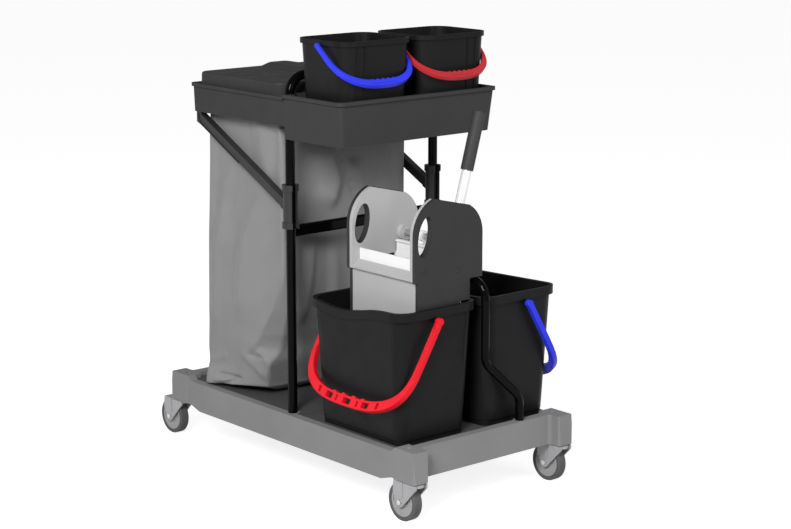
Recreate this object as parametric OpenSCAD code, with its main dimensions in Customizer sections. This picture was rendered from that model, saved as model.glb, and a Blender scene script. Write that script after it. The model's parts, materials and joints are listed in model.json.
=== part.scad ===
// Cleaning cart: wheeled base, tube frame, lidded refuse bag, tray with two small
// buckets, two large mop buckets and a lever wringer. Millimetres, +Z up, floor at z = 0.
// +X is the bucket end, -Y the right side. The origin lies on the floor under the
// middle of the whole cart.

/* [Base] */
// Length of the base over its corner blocks
base_l = 1042; // [980:1:1140]
// Width of the base over its corner blocks
base_w = 550; // [544:1:620]
// Height of the rails' underside above the floor
base_z = 107; // [106:1:130]
// Height of the rails
rail_h = 80; // [64:1:100]
// Thickness of the rails
rail_t = 25; // [20:1:30]
// Setback of the end rails behind the corner blocks' end faces
end_setback = 37; // [28:1:44]
// Length of a corner block
block_l = 78; // [70:1:84]
// Width of a corner block
block_w = 50; // [44:1:54]
// Flare of a corner block towards its foot
block_flare = 4; // [1:0.5:5]
// Depth of the deck's surface below the rails' top
deck_drop = 12; // [10:1:16]
// Thickness of the deck panel
deck_t = 5; // [4:0.5:8]

/* [Casters] */
// Wheel diameter
wheel_d = 100; // [80:1:102]
// Tyre width
tyre_w = 27; // [22:1:30]
// Distance of the wheel's axle behind the swivel
caster_trail = 40; // [30:1:45]
// Distance of the swivel from the base's ends
caster_inset_x = 21.5; // [16:0.5:30]
// Distance of the swivel from the base's sides
caster_inset_y = 25; // [20:0.5:28]
// Diameter of the swivel stem
stem_d = 12; // [10:0.5:14]
// Diameter of the wheel axle
axle_d = 8; // [6:0.5:10]

/* [Upright frame] */
// Diameter of the frame tube
tube_d = 25; // [22:0.5:27]
// Wall of the frame tube
tube_wall = 1.5; // [1:0.25:3]
// Distance between the uprights, centre to centre
upright_span = 488; // [480:1:490]
// Height of the handle bar's centre
handle_z = 1063; // [1058:1:1090]
// Bend radius of the handle's corners
handle_r = 50; // [40:1:60]
// Height of the cross bar's centre
cross_bar_z = 660; // [652:1:668]

/* [Brackets] */
// Height of the clip's foot on the upright
clip_z = 668; // [650:1:680]
// Height of the clip
clip_h = 114; // [100:1:120]
// Outside diameter of the clip
clip_d = 39; // [36:1:42]
// Width of an arm
arm_w = 20; // [14:1:22]
// Depth of an arm
arm_depth = 26; // [20:1:30]

/* [Bag frame and lid] */
// Length of the bag frame
bag_frame_l = 405; // [390:1:430]
// Width of the bag frame and the tray
top_w = 526; // [522:1:560]
// Height of the bag frame's foot
bag_frame_z = 933; // [925:1:936]
// Height of the bag frame
bag_frame_h = 77; // [72:1:80]
// Wall of the mouldings at the top
wall = 3; // [2.5:0.25:4]
// Height of the lid's top face
lid_top_z = 1040; // [1036:1:1042]
// Height of the lid's raised panel
lid_panel_h = 10; // [6:1:12]
// Corner radius of the lid at its hinge
lid_hinge_r = 50; // [30:1:60]
// Diameter of the lid's hinge pins
hinge_pin_d = 6; // [5:0.5:8]

/* [Refuse bag] */
// Height of the bag's foot above the deck
bag_lift = 3; // [2:1:60]
// Length of the bag's mouth
bag_l = 290; // [260:1:294]
// Width of the bag's mouth
bag_w = 460; // [420:1:462]
// Wall of the bag
bag_wall = 3; // [2.5:0.5:6]

/* [Tray] */
// Length of the tray
tray_l = 226; // [222:1:260]
// Height of the tray's foot
tray_z = 901; // [895:1:910]
// Height of the tray
tray_h = 115; // [100:1:125]
// Draft of the tray's end wall
tray_draft = 10; // [4:1:12]

/* [Small buckets] */
// Length of a small bucket's rim
small_l = 204; // [190:1:206]
// Width of a small bucket's rim
small_w = 238; // [220:1:240]
// Height of a small bucket
small_h = 257; // [220:1:280]
// Swing of a small bail from hanging straight down
small_bail_rest = 50; // [46:1:60]
// Reach of a small bail
small_bail_l = 156; // [150:1:165]

/* [Mop buckets] */
// Length of a mop bucket's rim
mop_l = 375; // [350:1:377]
// Width of a mop bucket's rim
mop_w = 266; // [250:1:268]
// Height of a mop bucket
mop_h = 345; // [320:1:350]
// Depth of the dip in a mop bucket's right rim
mop_dip = 16; // [8:1:20]
// Reach of a large bail
mop_bail_l = 272; // [262:1:280]
// Swing of a large bail from hanging straight down
mop_bail_rest = 31; // [30:0.5:36]

/* [Wringer] */
// Width of the wringer over its side covers
wringer_l = 262; // [240:1:268]
// Thickness of a side cover
cover_t = 9; // [8:0.5:11]
// Thickness of a cheek
cheek_t = 11; // [8:0.5:12]
// Diameter of the wringer's shaft
shaft_d = 17; // [14:0.5:18]
// Diameter of the lever pole
pole_d = 25; // [22:0.5:26]
// Reach of the lever from the shaft to the grip's end
lever_l = 337; // [300:1:360]
// Lean of the lever at rest
lever_rest = 16; // [12:0.5:20]
// Working swing of the lever
lever_swing = 72; // [60:1:76]
// Travel of the press plate over that swing
press_travel = 45; // [36:1:48]

/* [Wringer stand] */
// Diameter of the stand's tube
stand_d = 22; // [20:0.5:22.5]
// Height of the stand's bar
stand_z = 566; // [560:1:574]
// Bend radius of the stand
stand_r = 45; // [36:1:50]

/* [Hidden] */
$fn = 48;
// Loose layer for the faces that a hull joins
skin = 0.5;
// Reach of a cut past the face that it opens
over = 1;
// Radial running fit of pins and shafts, and of seats that stay still
run_fit = 0.05;
seat_fit = 0.02;
// Room between pieces that rest on each other and may part
rest_gap = 0.3;
// Room between pieces that pass each other
pass_gap = 1.2;

// Base
rail_top = base_z + rail_h;
deck_top = rail_top - deck_drop;
deck_bottom = deck_top - deck_t;
drain_x = 38;
drain_w = 6;
drain_depth = 1.5;
rail_w = base_w - 2 * block_flare;
inner_l = base_l - 2 * end_setback - 2 * rail_t;
inner_w = rail_w - 2 * rail_t;
ledge_w = 10;
block_r = 9;
rib_t = 4;
rib_h = 24;
rib_count = 5;
socket_wall = 6;
socket_depth = 46;
dimple_d = 16;
dimple_depth = 5;
dimple_from_end = 50;
dimple_from_side = 27;
step_run = 14;
skirt_run = 40;

// Casters
swivel_x = base_l / 2 - caster_inset_x;
swivel_y = base_w / 2 - caster_inset_y;
axle_z = wheel_d / 2;
skirt_end = swivel_x - caster_trail - 30;
wheel_room = 3;
fork_gap = tyre_w + 4;
leg_t = 4;
fork_w = fork_gap + 2 * leg_t;
collar_t = 2;
fork_top = base_z - collar_t - 0.5;
fork_head_h = 8;
fork_head_d = 42;
stem_grip = 56;
hub_d = wheel_d - 22;
axle_head_d = 13;
axle_head_h = 3.5;
cart_x = (swivel_x + caster_trail + wheel_d / 2 - base_l / 2) / 2;

// Uprights and brackets
upright_y = upright_span / 2;
clip_gap = 18;
collar_h = 16;
collar_d = clip_d + 6;
arm_top_x = -bag_frame_l + 18;
arm_join_z = clip_z + 74;
arm_rise_z = bag_frame_z - 8;
spigot_d = 14;
spigot_h = 34;
bar_h = 30;
bar_t = 16;
screw_d = 5;
screw_head_d = 9;
screw_head_h = 3;

// Bag frame, lid and bag
rim_out = 5;
rim_h = 9;
frame_draft = 2;
seam_draft = 3;
frame_r = 12;
tray_r = 14;
ledge_z = bag_frame_z + 52;
ledge_t = 4;
mouth_gap = 0.5;
mouth_x = -92 - bag_l / 2;
mouth_r = 24;
hem_w = 6;
hem_t = 3;
bag_z = deck_top + bag_lift;
lid_edge = 11;
lid_skirt_z = ledge_z + ledge_t + rest_gap;
lid_near_x = -38;
lid_far_x = -bag_frame_l + lid_edge;
lid_w = top_w - 26;
lid_round = 7;
lid_far_r = 24;
lid_panel_near = 44;
lid_panel_far = 12;
lid_panel_w = 124;
hinge_x = -26;
hinge_z = lid_top_z - 8;
hinge_y = 130;
knuckle_d = hinge_pin_d + 10;
knuckle_l = 44;
lug_t = 10;
clamp_y = upright_y - 30;
clamp_zs = [bag_frame_z + 16, bag_frame_z + 40];
clamp_d = 6;
tube_room = 0.1;

// Small buckets
small_floor_z = tray_z + wall + rest_gap;
small_top_z = small_floor_z + small_h;
small_x = 14 + small_l / 2;
small_apart = 19.6;
small_y = (small_apart + small_w) / 2;
small_shift = 5;
small_pivot_z = small_top_z - 13;
small_pivot_x = small_x + 4;
small_rim_out = 5;
small_rim_h = 12;
small_r = 40;
small_taper = 14;
bucket_wall = 2.5;
stud_d = 7;
eye_d = 13;
small_bail_t = 8;
small_arm_w = 12;
small_grip_h = 20;
small_bail_v0 = 45;
small_bail_n = 2.5;
eye_skin = 2.5;

// Mop buckets
mop_floor_z = deck_top + rest_gap;
mop_top_z = mop_floor_z + mop_h;
mop_x = base_l / 2 - 66 - mop_l / 2;
mop_apart = 14;
mop_y = (mop_apart + mop_w) / 2;
mop_shift = 12;
mop_rim_out = 8;
mop_rim_h = 22;
mop_r = 38;
mop_taper_x = 16;
mop_taper_y = 14;
mop_foot_h = 14;
mop_foot_in = 4;
mop_rim_fall = 15;
mop_dip_x = -42;
mop_pivot_out = 14;
mop_pivot_z = mop_top_z - 32;
mop_stud_d = 9;
mop_eye_d = 19;
mop_bail_t = 13;
mop_arm_w = 15;
mop_grip_h = 27;
mop_bail_v0 = 120;
mop_bail_n = 2.9;

// Wringer, in the plane of its side covers
wringer_x1 = mop_x + 172;
wringer_x0 = wringer_x1 - wringer_l;
cheek_x0 = wringer_x0 + cover_t;
cheek_x1 = wringer_x1 - cover_t;
throat_x0 = cheek_x0 + cheek_t;
throat_x1 = cheek_x1 - cheek_t;
wr_front = -203;
wr_rear = 22;
wr_low_rear = -20;
wr_low_front = wr_front + 10;
wr_foot = 470;
wr_step_z = 588;
wr_neck_z = mop_top_z + 3;
cover_neck = -54;
cheek_neck = -40;
wr_shoulder = stand_z + stand_d / 2 + rest_gap;
wr_top_front = 807;
wr_top_rear = 754;
wr_front_r = 97;
wr_rear_r = 84;
wr_front_arc_z = 700;
wr_rear_arc_z = 690;
hole_y = -168;
hole_z = 700;
hole_a = 23;
hole_b = 51;
hole_lean = 11;
cover_wall = 3;
panel_t = 4;
shaft_y = -33;
shaft_z = 662;
bush_d = 40;
bush_l = 14;
bush_neck_d = shaft_d + 7;
press_t = 8;
press_top = 646;
press_foot = 484;
press_gap = 5;
press_seat = 17;
press_y = shaft_y - press_seat - press_t;
runner_d = 8;
runner_zs = [press_foot + 20, press_top - 40];
cam_t = 12;
cam_rate = press_travel / (lever_swing * PI / 180);
cam_gap = 0.4;
cam_steps = 18;
cam_hub_d = shaft_d + 12;
lever_x = throat_x1 - 36;
socket_d = pole_d + 8;
socket_l = 54;
cam_xs = [throat_x0 + 74, lever_x - socket_d / 2 - cam_t - 2];
grip_l = 152;
grip_d = pole_d + 8;
jaw_top_y = wr_front + 26;
jaw_foot_y = -138;
jaw_back_y = wr_low_front + panel_t + 2;
jaw_t = 4;
jaw_rise_z = wr_step_z + 51;

// Wringer stand
stand_x1 = mop_x + mop_l / 2 + stand_d / 2 + pass_gap + 0.3;
stand_x0 = mop_x - (stand_x1 - mop_x);
stand_y = 8;
stand_foot_y = 131;
stand_knee_top = 358;
stand_knee_low = 249;
front_socket_z = rail_top - socket_depth;
clip_strap_t = 3;
clip_strap_l = 18;

CORNERS = [["front_right", 1, -1], ["front_left", 1, 1], ["rear_right", -1, -1], ["rear_left", -1, 1]];

// Shared shapes

// Rectangle with four round corners, centred
module round_rect(l, w, r) {
    square([l - 2 * r, w], center = true);
    square([l, w - 2 * r], center = true);
    for (sx = [-1, 1], sy = [-1, 1])
        translate([sx * (l / 2 - r), sy * (w / 2 - r)])
            circle(r);
}

// Rectangle from x = 0 to l with round corners at its far end only
module end_round(l, w, r) {
    translate([0, -w / 2])
        square([l - r, w]);
    translate([0, -w / 2 + r])
        square([l, w - 2 * r]);
    for (s = [-1, 1])
        translate([l - r, s * (w / 2 - r)])
            circle(r);
}

// Four thin posts whose hull is one layer of a round-cornered form
module layer(l, w, r, z) {
    for (sx = [-1, 1], sy = [-1, 1])
        translate([sx * (l / 2 - r), sy * (w / 2 - r), z])
            cylinder(r = r, h = skin, $fn = 32);
}

// Copies at the base's four corners
module at_corners() {
    for (mx = [0, 1], my = [0, 1])
        mirror([mx, 0, 0])
            mirror([0, my, 0])
                children();
}

// Copies on the right and on the left
module both_sides() {
    for (my = [0, 1])
        mirror([0, my, 0])
            children();
}

function unit(v) = v / norm(v);

// Straight run of a rod between two points
module run(p, q, d) {
    v = q - p;
    translate(p)
        rotate([0, acos(v.z / norm(v)), atan2(v.y, v.x)])
            cylinder(d = d, h = norm(v));
}

// Bend of a rod at a corner, from direction a to direction b
module bend(corner, a, b, r, d) {
    turn = acos(a * b);
    side = unit(b - a * (a * b));
    out = -side;
    n = cross(out, a);
    c = corner - a * r * tan(turn / 2) + side * r;
    multmatrix([[out.x, a.x, n.x, c.x], [out.y, a.y, n.y, c.y], [out.z, a.z, n.z, c.z], [0, 0, 0, 1]])
        rotate_extrude(angle = turn)
            translate([r, 0])
                circle(d = d);
}

// Rod along a list of points, with a bend at each inner point
module bent_rod(pts, r, d) {
    last = len(pts) - 1;
    dirs = [for (i = [0:last - 1]) unit(pts[i + 1] - pts[i])];
    cuts = [for (i = [0:last]) (i == 0 || i == last) ? 0 : r * tan(acos(dirs[i - 1] * dirs[i]) / 2)];
    for (i = [0:last - 1])
        run(pts[i] + dirs[i] * cuts[i], pts[i + 1] - dirs[i] * cuts[i + 1], d);
    for (i = [1:last - 1])
        bend(pts[i], dirs[i - 1], dirs[i], r, d);
}

// Points along a path whose inner corners are rounded, with a number of steps to each bend
function rounded_path(pts, r, steps) = let (last = len(pts) - 1) concat(
    [pts[0]],
    [for (i = [1:last - 1], k = [0:steps])
        let (
            a = unit(pts[i] - pts[i - 1]),
            b = unit(pts[i + 1] - pts[i]),
            turn = acos(a * b),
            side = unit(b - a * (a * b)),
            f = turn * k / steps
        )
        pts[i] - a * r * tan(turn / 2) + side * r * (1 - cos(f)) + a * r * sin(f)],
    [pts[last]]
);

// A direction across a path, carried along it without twist
function carried(dirs, i, u) = i == len(dirs) ? [] :
    let (v = unit(u - dirs[i] * (u * dirs[i]))) concat([v], carried(dirs, i + 1, v));

// Rod swept along a path as one form
module swept_rod(path, d, sides, start) {
    n = len(path);
    dirs = [for (i = [0:n - 1]) unit(path[min(i + 1, n - 1)] - path[max(i - 1, 0)])];
    across = carried(dirs, 0, start);
    points = [for (i = [0:n - 1], k = [0:sides - 1])
        let (f = 360 * k / sides)
        path[i] + d / 2 * (across[i] * cos(f) + cross(dirs[i], across[i]) * sin(f))];
    walls = [for (i = [0:n - 2], k = [0:sides - 1])
        let (a = i * sides + k, b = i * sides + (k + 1) % sides)
        each [[a, b + sides, b], [a, a + sides, b + sides]]];
    polyhedron(points, concat(walls,
        [[for (k = [0:sides - 1]) k]],
        [[for (k = [sides - 1:-1:0]) (n - 1) * sides + k]]));
}

// Screw along +X with its head at the origin
module screw(d, l, head_d, head_h) {
    rotate([0, 90, 0])
        cylinder(d = d, h = l);
    rotate([0, -90, 0])
        cylinder(d = head_d, h = head_h);
}

// Base

module block_plan() {
    translate([base_l / 2 - block_l / 2, base_w / 2 - block_w / 2])
        round_rect(block_l, block_w, block_r);
}

// Open middle of the base, drawn in by a margin, less the corner blocks
module deck_plan(margin) {
    difference() {
        square([inner_l - 2 * margin, inner_w - 2 * margin], center = true);
        at_corners()
            translate([base_l / 2 - block_l - margin, base_w / 2 - block_w - margin])
                square([block_l, block_w]);
    }
}

// Inner corner between a block and the end rail, filled with a round
module end_fillet() {
    r = 10;
    translate([base_l / 2 - end_setback, base_w / 2 - block_w - r])
        difference() {
            square([r, r]);
            translate([r, 0])
                circle(r);
        }
}

// Posts round the uprights' feet, webbed to the side rails
module upright_posts(d) {
    for (s = [-1, 1]) {
        translate([0, s * upright_y])
            circle(d = d);
        translate([-d / 2, s > 0 ? upright_y : -rail_w / 2])
            square([d, rail_w / 2 - upright_y]);
    }
}

module stand_post(d) translate([stand_x1, stand_foot_y]) circle(d = d);

// Side view above the side rails, which drop to the deck between the corner blocks
module side_cut_plan() {
    s = base_l / 2 - block_l;
    polygon([
        [-s, rail_top + over], [-s, rail_top], [-s + step_run, deck_top],
        [s - step_run, deck_top], [s, rail_top], [s, rail_top + over]
    ]);
}

// Side view of the skirt that hangs below a side rail between the casters
module skirt_plan() {
    polygon([
        [-skirt_end, base_z + over], [-skirt_end, base_z], [-skirt_end + skirt_run, base_z - deck_drop],
        [skirt_end - skirt_run, base_z - deck_drop], [skirt_end, base_z], [skirt_end, base_z + over]
    ]);
}

// Pieces of the base's height, kept within the rails
module within_rails() {
    intersection() {
        children();
        square([base_l - 2 * end_setback, rail_w], center = true);
    }
}

// Rails and corner blocks in plan
module base_plan() {
    square([base_l - 2 * end_setback, rail_w], center = true);
    at_corners() {
        block_plan();
        end_fillet();
    }
}

// Wedges that lean the corner blocks' outer faces in towards the top
module flare_cuts() {
    lean = atan2(block_flare, rail_h);
    depth = 4 * block_flare;
    for (m = [0, 1]) {
        mirror([m, 0, 0])
            translate([base_l / 2, -base_w, base_z])
                rotate([0, -lean, 0])
                    cube([depth, 2 * base_w, 2 * rail_h]);
        mirror([0, m, 0])
            translate([-base_l, base_w / 2, base_z])
                rotate([lean, 0, 0])
                    cube([2 * base_l, depth, 2 * rail_h]);
    }
}

module base_frame() color("#848688") difference() {
    post_z = front_socket_z - 4;
    union() {
        difference() {
            union() {
                translate([0, 0, base_z])
                    linear_extrude(rail_h)
                        difference() {
                            base_plan();
                            deck_plan(ledge_w);
                        }
                both_sides()
                    translate([0, -rail_w / 2 + rail_t, 0])
                        rotate([90, 0, 0])
                            linear_extrude(rail_t)
                                skirt_plan();
            }
            translate([0, 0, deck_bottom])
                linear_extrude(rail_h)
                    deck_plan(0);
            along_y(2 * base_w)
                side_cut_plan();
            flare_cuts();
        }
        translate([0, 0, post_z])
            linear_extrude(deck_top - post_z)
                within_rails()
                    upright_posts(tube_d + 2 * socket_wall);
        translate([0, 0, post_z])
            linear_extrude(rail_top - post_z)
                within_rails()
                    stand_post(stand_d + 2 * socket_wall);
    }
    translate([0, 0, front_socket_z])
        linear_extrude(rail_h) {
            for (s = [-1, 1])
                translate([0, s * upright_y])
                    circle(d = tube_d + 2 * seat_fit);
            stand_post(stand_d + 2 * seat_fit);
        }
    at_corners() {
        translate([swivel_x, swivel_y, base_z - over])
            cylinder(d = stem_d + 2 * seat_fit, h = stem_grip + over + 1);
        translate([base_l / 2 - dimple_from_end, base_w / 2 - dimple_from_side, rail_top - dimple_depth])
            cylinder(d = dimple_d, h = dimple_depth + over);
    }
}

module deck_panel() color("#7a7c7e") {
    rear_socket = [stand_x0, stand_foot_y];
    difference() {
        union() {
            translate([0, 0, deck_bottom])
                linear_extrude(deck_t)
                    difference() {
                        deck_plan(rest_gap);
                        upright_posts(tube_d + 2 * socket_wall + 2 * rest_gap);
                        stand_post(stand_d + 2 * socket_wall + 2 * rest_gap);
                    }
            for (i = [1:rib_count])
                translate([inner_l * (i / (rib_count + 1) - 0.5), 0, deck_bottom - rib_h / 2 + skin])
                    cube([rib_t, inner_w - 2 * ledge_w - 80, rib_h], center = true);
            for (s = [-1, 1])
                translate([0, s * inner_w / 5, deck_bottom - rib_h / 2 + skin])
                    cube([inner_l - 2 * ledge_w - 120, rib_t, rib_h], center = true);
            translate([rear_socket.x, rear_socket.y, deck_bottom - rib_h])
                cylinder(d = stand_d + 2 * socket_wall, h = rib_h + deck_t + deck_drop - 3);
        }
        translate([rear_socket.x, rear_socket.y, front_socket_z])
            cylinder(d = stand_d + 2 * seat_fit, h = rail_h);
        translate([drain_x - drain_w / 2, -inner_w, deck_top - drain_depth])
            cube([drain_w, 2 * inner_w, drain_depth + over]);
    }
}

// Casters

module at_swivel(c) translate([c[1] * swivel_x, c[2] * swivel_y, 0]) children();

module at_axle(c) at_swivel(c) translate([-caster_trail, 0, axle_z]) rotate([90, 0, 0]) children();

module caster_stems() color("#b9bbbd") {
    for (c = CORNERS)
        at_swivel(c) {
            translate([0, 0, fork_top - fork_head_h - 1])
                cylinder(d = stem_d, h = base_z + stem_grip - fork_top + fork_head_h + 1);
            translate([0, 0, base_z - collar_t])
                cylinder(d = 34, h = collar_t);
            translate([0, 0, fork_top - fork_head_h - 3.5])
                cylinder(d = stem_d + 7, h = 3);
        }
}

// Side view of a fork leg, swivel at x = 0
module leg_plan() {
    tip_r = 13;
    difference() {
        union() {
            polygon([
                [-caster_trail - 23, fork_top], [fork_head_d / 2, fork_top],
                [fork_head_d / 2, fork_top - 10], [-caster_trail + 10, axle_z - 9],
                [-caster_trail - 10, axle_z - 9], [-caster_trail - 26, fork_top - 30]
            ]);
            translate([-caster_trail, axle_z])
                circle(tip_r);
        }
        translate([-caster_trail, axle_z])
            circle(d = axle_d + 2 * seat_fit);
    }
}

module caster_fork(c) color("#a9abad") at_swivel(c) difference() {
    union() {
        for (s = [-1, 1])
            translate([0, s * (fork_gap + leg_t) / 2 + leg_t / 2, 0])
                rotate([90, 0, 0])
                    linear_extrude(leg_t)
                        leg_plan();
        for (s = [-1, 1])
            translate([-caster_trail + 9, s * (fork_w / 2 + 0.5), (axle_z + 14 + fork_top) / 2])
                cube([6, 3, fork_top - axle_z - 14], center = true);
        translate([-caster_trail - 23, -fork_w / 2, fork_top - 4])
            cube([caster_trail + 23, fork_w, 4]);
        translate([0, 0, fork_top - fork_head_h])
            cylinder(d = fork_head_d, h = fork_head_h);
    }
    translate([-caster_trail, 0, axle_z])
        rotate([90, 0, 0])
            cylinder(d = wheel_d + 2 * wheel_room, h = fork_gap, center = true);
    translate([0, 0, fork_top - fork_head_h - over])
        cylinder(d = stem_d + 2 * run_fit, h = fork_head_h + 2 * over);
}

module caster_axle(c) color("#c4c6c8") at_axle(c) {
    cylinder(d = axle_d, h = fork_w + 2, center = true);
    for (s = [-1, 1])
        translate([0, 0, s * (fork_w / 2 + axle_head_h / 2)])
            cylinder(d = axle_head_d, h = axle_head_h, center = true);
}

module caster_hub(c) color("#b4b4b4") at_axle(c) difference() {
    union() {
        cylinder(d = hub_d, h = tyre_w - 4, center = true);
        cylinder(d = 24, h = fork_gap - 1, center = true);
    }
    for (s = [-1, 1])
        translate([0, 0, s * (tyre_w / 2 - 2)])
            rotate_extrude()
                translate([16, -3])
                    square([hub_d / 2 - 22, 6]);
    cylinder(d = axle_d + 2 * run_fit, h = fork_gap, center = true);
}

module caster_tyre(c) color("#6d6d6f") at_axle(c) rotate_extrude() {
    inner_r = hub_d / 2 + seat_fit;
    translate([(inner_r + wheel_d / 2) / 2, 0])
        round_rect(wheel_d / 2 - inner_r, tyre_w, 4);
}

// Upright frame and brackets

module upright_frame() color("#1c1c1e") {
    foot = front_socket_z + rest_gap;
    ends = [
        [0, -upright_y, foot], [0, -upright_y, handle_z],
        [0, upright_y, handle_z], [0, upright_y, foot]
    ];
    difference() {
        bent_rod(ends, handle_r, tube_d);
        bent_rod([ends[0] - [0, 0, over], ends[1], ends[2], ends[3] - [0, 0, over]], handle_r,
            tube_d - 2 * tube_wall);
        both_sides()
            clip_screw_axes()
                translate([-tube_d, 0, 0])
                    rotate([0, 90, 0])
                        cylinder(d = screw_d + 0.3, h = tube_d);
    }
}

module clip_screw_axes() {
    for (z = [clip_z + 22, clip_z + 88])
        translate([0, -upright_y, z])
            children();
}

module cross_bar() color("#202022") difference() {
    translate([0, 0, cross_bar_z])
        rotate([90, 0, 0])
            linear_extrude(upright_span, center = true)
                round_rect(bar_t, bar_h, 5);
    both_sides() {
        translate([0, -upright_y, cross_bar_z - bar_h])
            cylinder(d = tube_d + 2 * seat_fit, h = 2 * bar_h);
        translate([0, -upright_y, clip_z - rest_gap])
            cylinder(d = collar_d + 2 * run_fit, h = 2 * bar_h);
    }
}

// Side view of an arm: rises from the clip, then turns up under the bag frame
module arm_plan(inset) {
    slope = atan2(arm_rise_z - arm_join_z, -arm_top_x);
    drop = arm_depth / cos(slope);
    x0 = -clip_d / 2 + 4 - inset * 3;
    z0 = arm_join_z - inset;
    z1 = arm_rise_z - inset;
    tip = arm_top_x - arm_w / 2 + inset;
    polygon([
        [x0, z0], [x0, z0 - drop + 2 * inset], [arm_top_x + arm_w / 2 - inset, z1 - drop + 2 * inset],
        [tip, z1 - drop + 3 * inset + 8], [tip, bag_frame_z - rest_gap - inset],
        [arm_top_x + arm_w / 2 - inset, bag_frame_z - rest_gap - inset], [arm_top_x + arm_w / 2 - inset, z1]
    ]);
}

module bracket() color("#3a3b3d") {
    difference() {
        union() {
            translate([0, -upright_y, clip_z]) {
                cylinder(d = clip_d, h = clip_h);
                cylinder(d = collar_d, h = collar_h);
                translate([0, 0, clip_h - collar_h])
                    cylinder(d = collar_d, h = collar_h);
            }
            translate([0, -upright_y + arm_w / 2, 0])
                rotate([90, 0, 0])
                    linear_extrude(arm_w)
                        arm_plan(0);
            translate([arm_top_x, -upright_y, bag_frame_z - rest_gap - 2])
                cylinder(d = spigot_d, h = spigot_h + 2);
        }
        for (s = [-1, 1])
            translate([0, -upright_y + s * (arm_w / 2 - 1) + 2, 0])
                rotate([90, 0, 0])
                    linear_extrude(4)
                        arm_plan(5);
        translate([0, -upright_y, clip_z - over]) {
            cylinder(d = tube_d + 2 * tube_room, h = clip_h + 2 * over);
            translate([0, -clip_gap / 2, 0])
                cube([collar_d, clip_gap, clip_h + 2 * over]);
        }
        clip_screw_axes()
            translate([-collar_d, 0, 0])
                rotate([0, 90, 0])
                    cylinder(d = screw_d + 0.2, h = collar_d);
    }
}

module bracket_screws() color("#9a9c9e") both_sides() clip_screw_axes()
    translate([-clip_d / 2 - 0.1, 0, 0])
        screw(screw_d, clip_d / 2 - tube_d / 2 + 6, screw_head_d, screw_head_h);

// Bag frame, tray and lid

// Tub with its seam wall on x = 0 and its far wall drafted inwards at the foot
module tub(l, w, h, r, draft, inset, z) {
    hull()
        for (level = [0, 1], s = [-1, 1]) {
            d = inset + (1 - level) * draft;
            ws = w / 2 - inset - (1 - level) * seam_draft;
            translate([l - d - r, s * (w / 2 - d - r), z + level * h])
                cylinder(r = r, h = skin, $fn = 32);
            translate([inset, s > 0 ? ws - 1 : -ws, z + level * h])
                cube([skin, 1, skin]);
        }
}

// Rolled rim along a tub's far wall and sides
module tub_rim(l, w, r, z) {
    translate([0, 0, z - rim_h])
        linear_extrude(rim_h)
            difference() {
                end_round(l + rim_out, w + 2 * rim_out, r + rim_out);
                translate([-over, 0])
                    end_round(l - wall + over, w - 2 * wall, r - wall);
            }
}

// Half sleeves round the uprights inside a tub's seam wall
module tube_sleeves(z, h, l, w, r, draft) {
    intersection() {
        both_sides()
            translate([0, -upright_y, z])
                cylinder(d = tube_d + 2 * tube_room + 2 * wall, h = h);
        tub(l, w, h, r, draft, 0, z);
    }
}

module clamp_axes() {
    for (y = [-clamp_y, clamp_y], z = clamp_zs)
        translate([0, y, z])
            children();
}

module seam_bores(z, h) {
    both_sides()
        translate([0, -upright_y, z - over])
            cylinder(d = tube_d + 2 * tube_room, h = h + 2 * over);
    clamp_axes()
        rotate([0, 90, 0])
            cylinder(d = clamp_d + 0.2, h = 4 * wall, center = true);
}

module upper_tray() color("#434547") difference() {
    union() {
        difference() {
            tub(tray_l, top_w, tray_h, tray_r, tray_draft, 0, tray_z);
            tub(tray_l, top_w, tray_h, tray_r - wall, tray_draft, wall, tray_z + wall);
        }
        tube_sleeves(tray_z, tray_h, tray_l, top_w, tray_r, tray_draft);
        tub_rim(tray_l, top_w, tray_r, tray_z + tray_h);
    }
    seam_bores(tray_z, tray_h);
}

// Pieces that stand on the bag frame's side of the seam, drawn towards +X
module on_bag_side() mirror([1, 0, 0]) children();

module bag_frame() color("#434547") difference() {
    union() {
        on_bag_side() {
            difference() {
                tub(bag_frame_l, top_w, bag_frame_h, frame_r, frame_draft, 0, bag_frame_z);
                tub(bag_frame_l, top_w, bag_frame_h + 2, frame_r - wall, frame_draft, wall, bag_frame_z - 1);
            }
            tube_sleeves(bag_frame_z, bag_frame_h, bag_frame_l, top_w, frame_r, frame_draft);
            tub_rim(bag_frame_l, top_w, frame_r, bag_frame_z + bag_frame_h);
            translate([0, 0, ledge_z])
                linear_extrude(ledge_t)
                    difference() {
                        end_round(bag_frame_l - 2, top_w - 4, frame_r);
                        translate([-mouth_x, 0])
                            round_rect(bag_l, bag_w, mouth_r);
                    }
        }
        both_sides()
            translate([arm_top_x, -upright_y, bag_frame_z])
                cylinder(d = spigot_d + 8, h = ledge_z - bag_frame_z + 1);
        for (s = [-1, 1], t = [-1, 1])
            translate([hinge_x, s * hinge_y + t * (knuckle_l + lug_t + 1) / 2, 0])
                hinge_lug();
    }
    seam_bores(bag_frame_z, bag_frame_h);
    both_sides()
        translate([arm_top_x, -upright_y, bag_frame_z - over])
            cylinder(d = spigot_d + 2 * seat_fit, h = spigot_h + over + 0.5);
    translate([hinge_x, 0, hinge_z])
        rotate([90, 0, 0])
            cylinder(d = hinge_pin_d + 2 * seat_fit, h = 4 * hinge_y, center = true);
}

module hinge_lug() {
    translate([0, 0, hinge_z])
        rotate([90, 0, 0])
            cylinder(d = knuckle_d, h = lug_t, center = true);
    translate([-knuckle_d / 2, -lug_t / 2, ledge_z + ledge_t - 1])
        cube([knuckle_d, lug_t, hinge_z - ledge_z - ledge_t + 1]);
}

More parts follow.
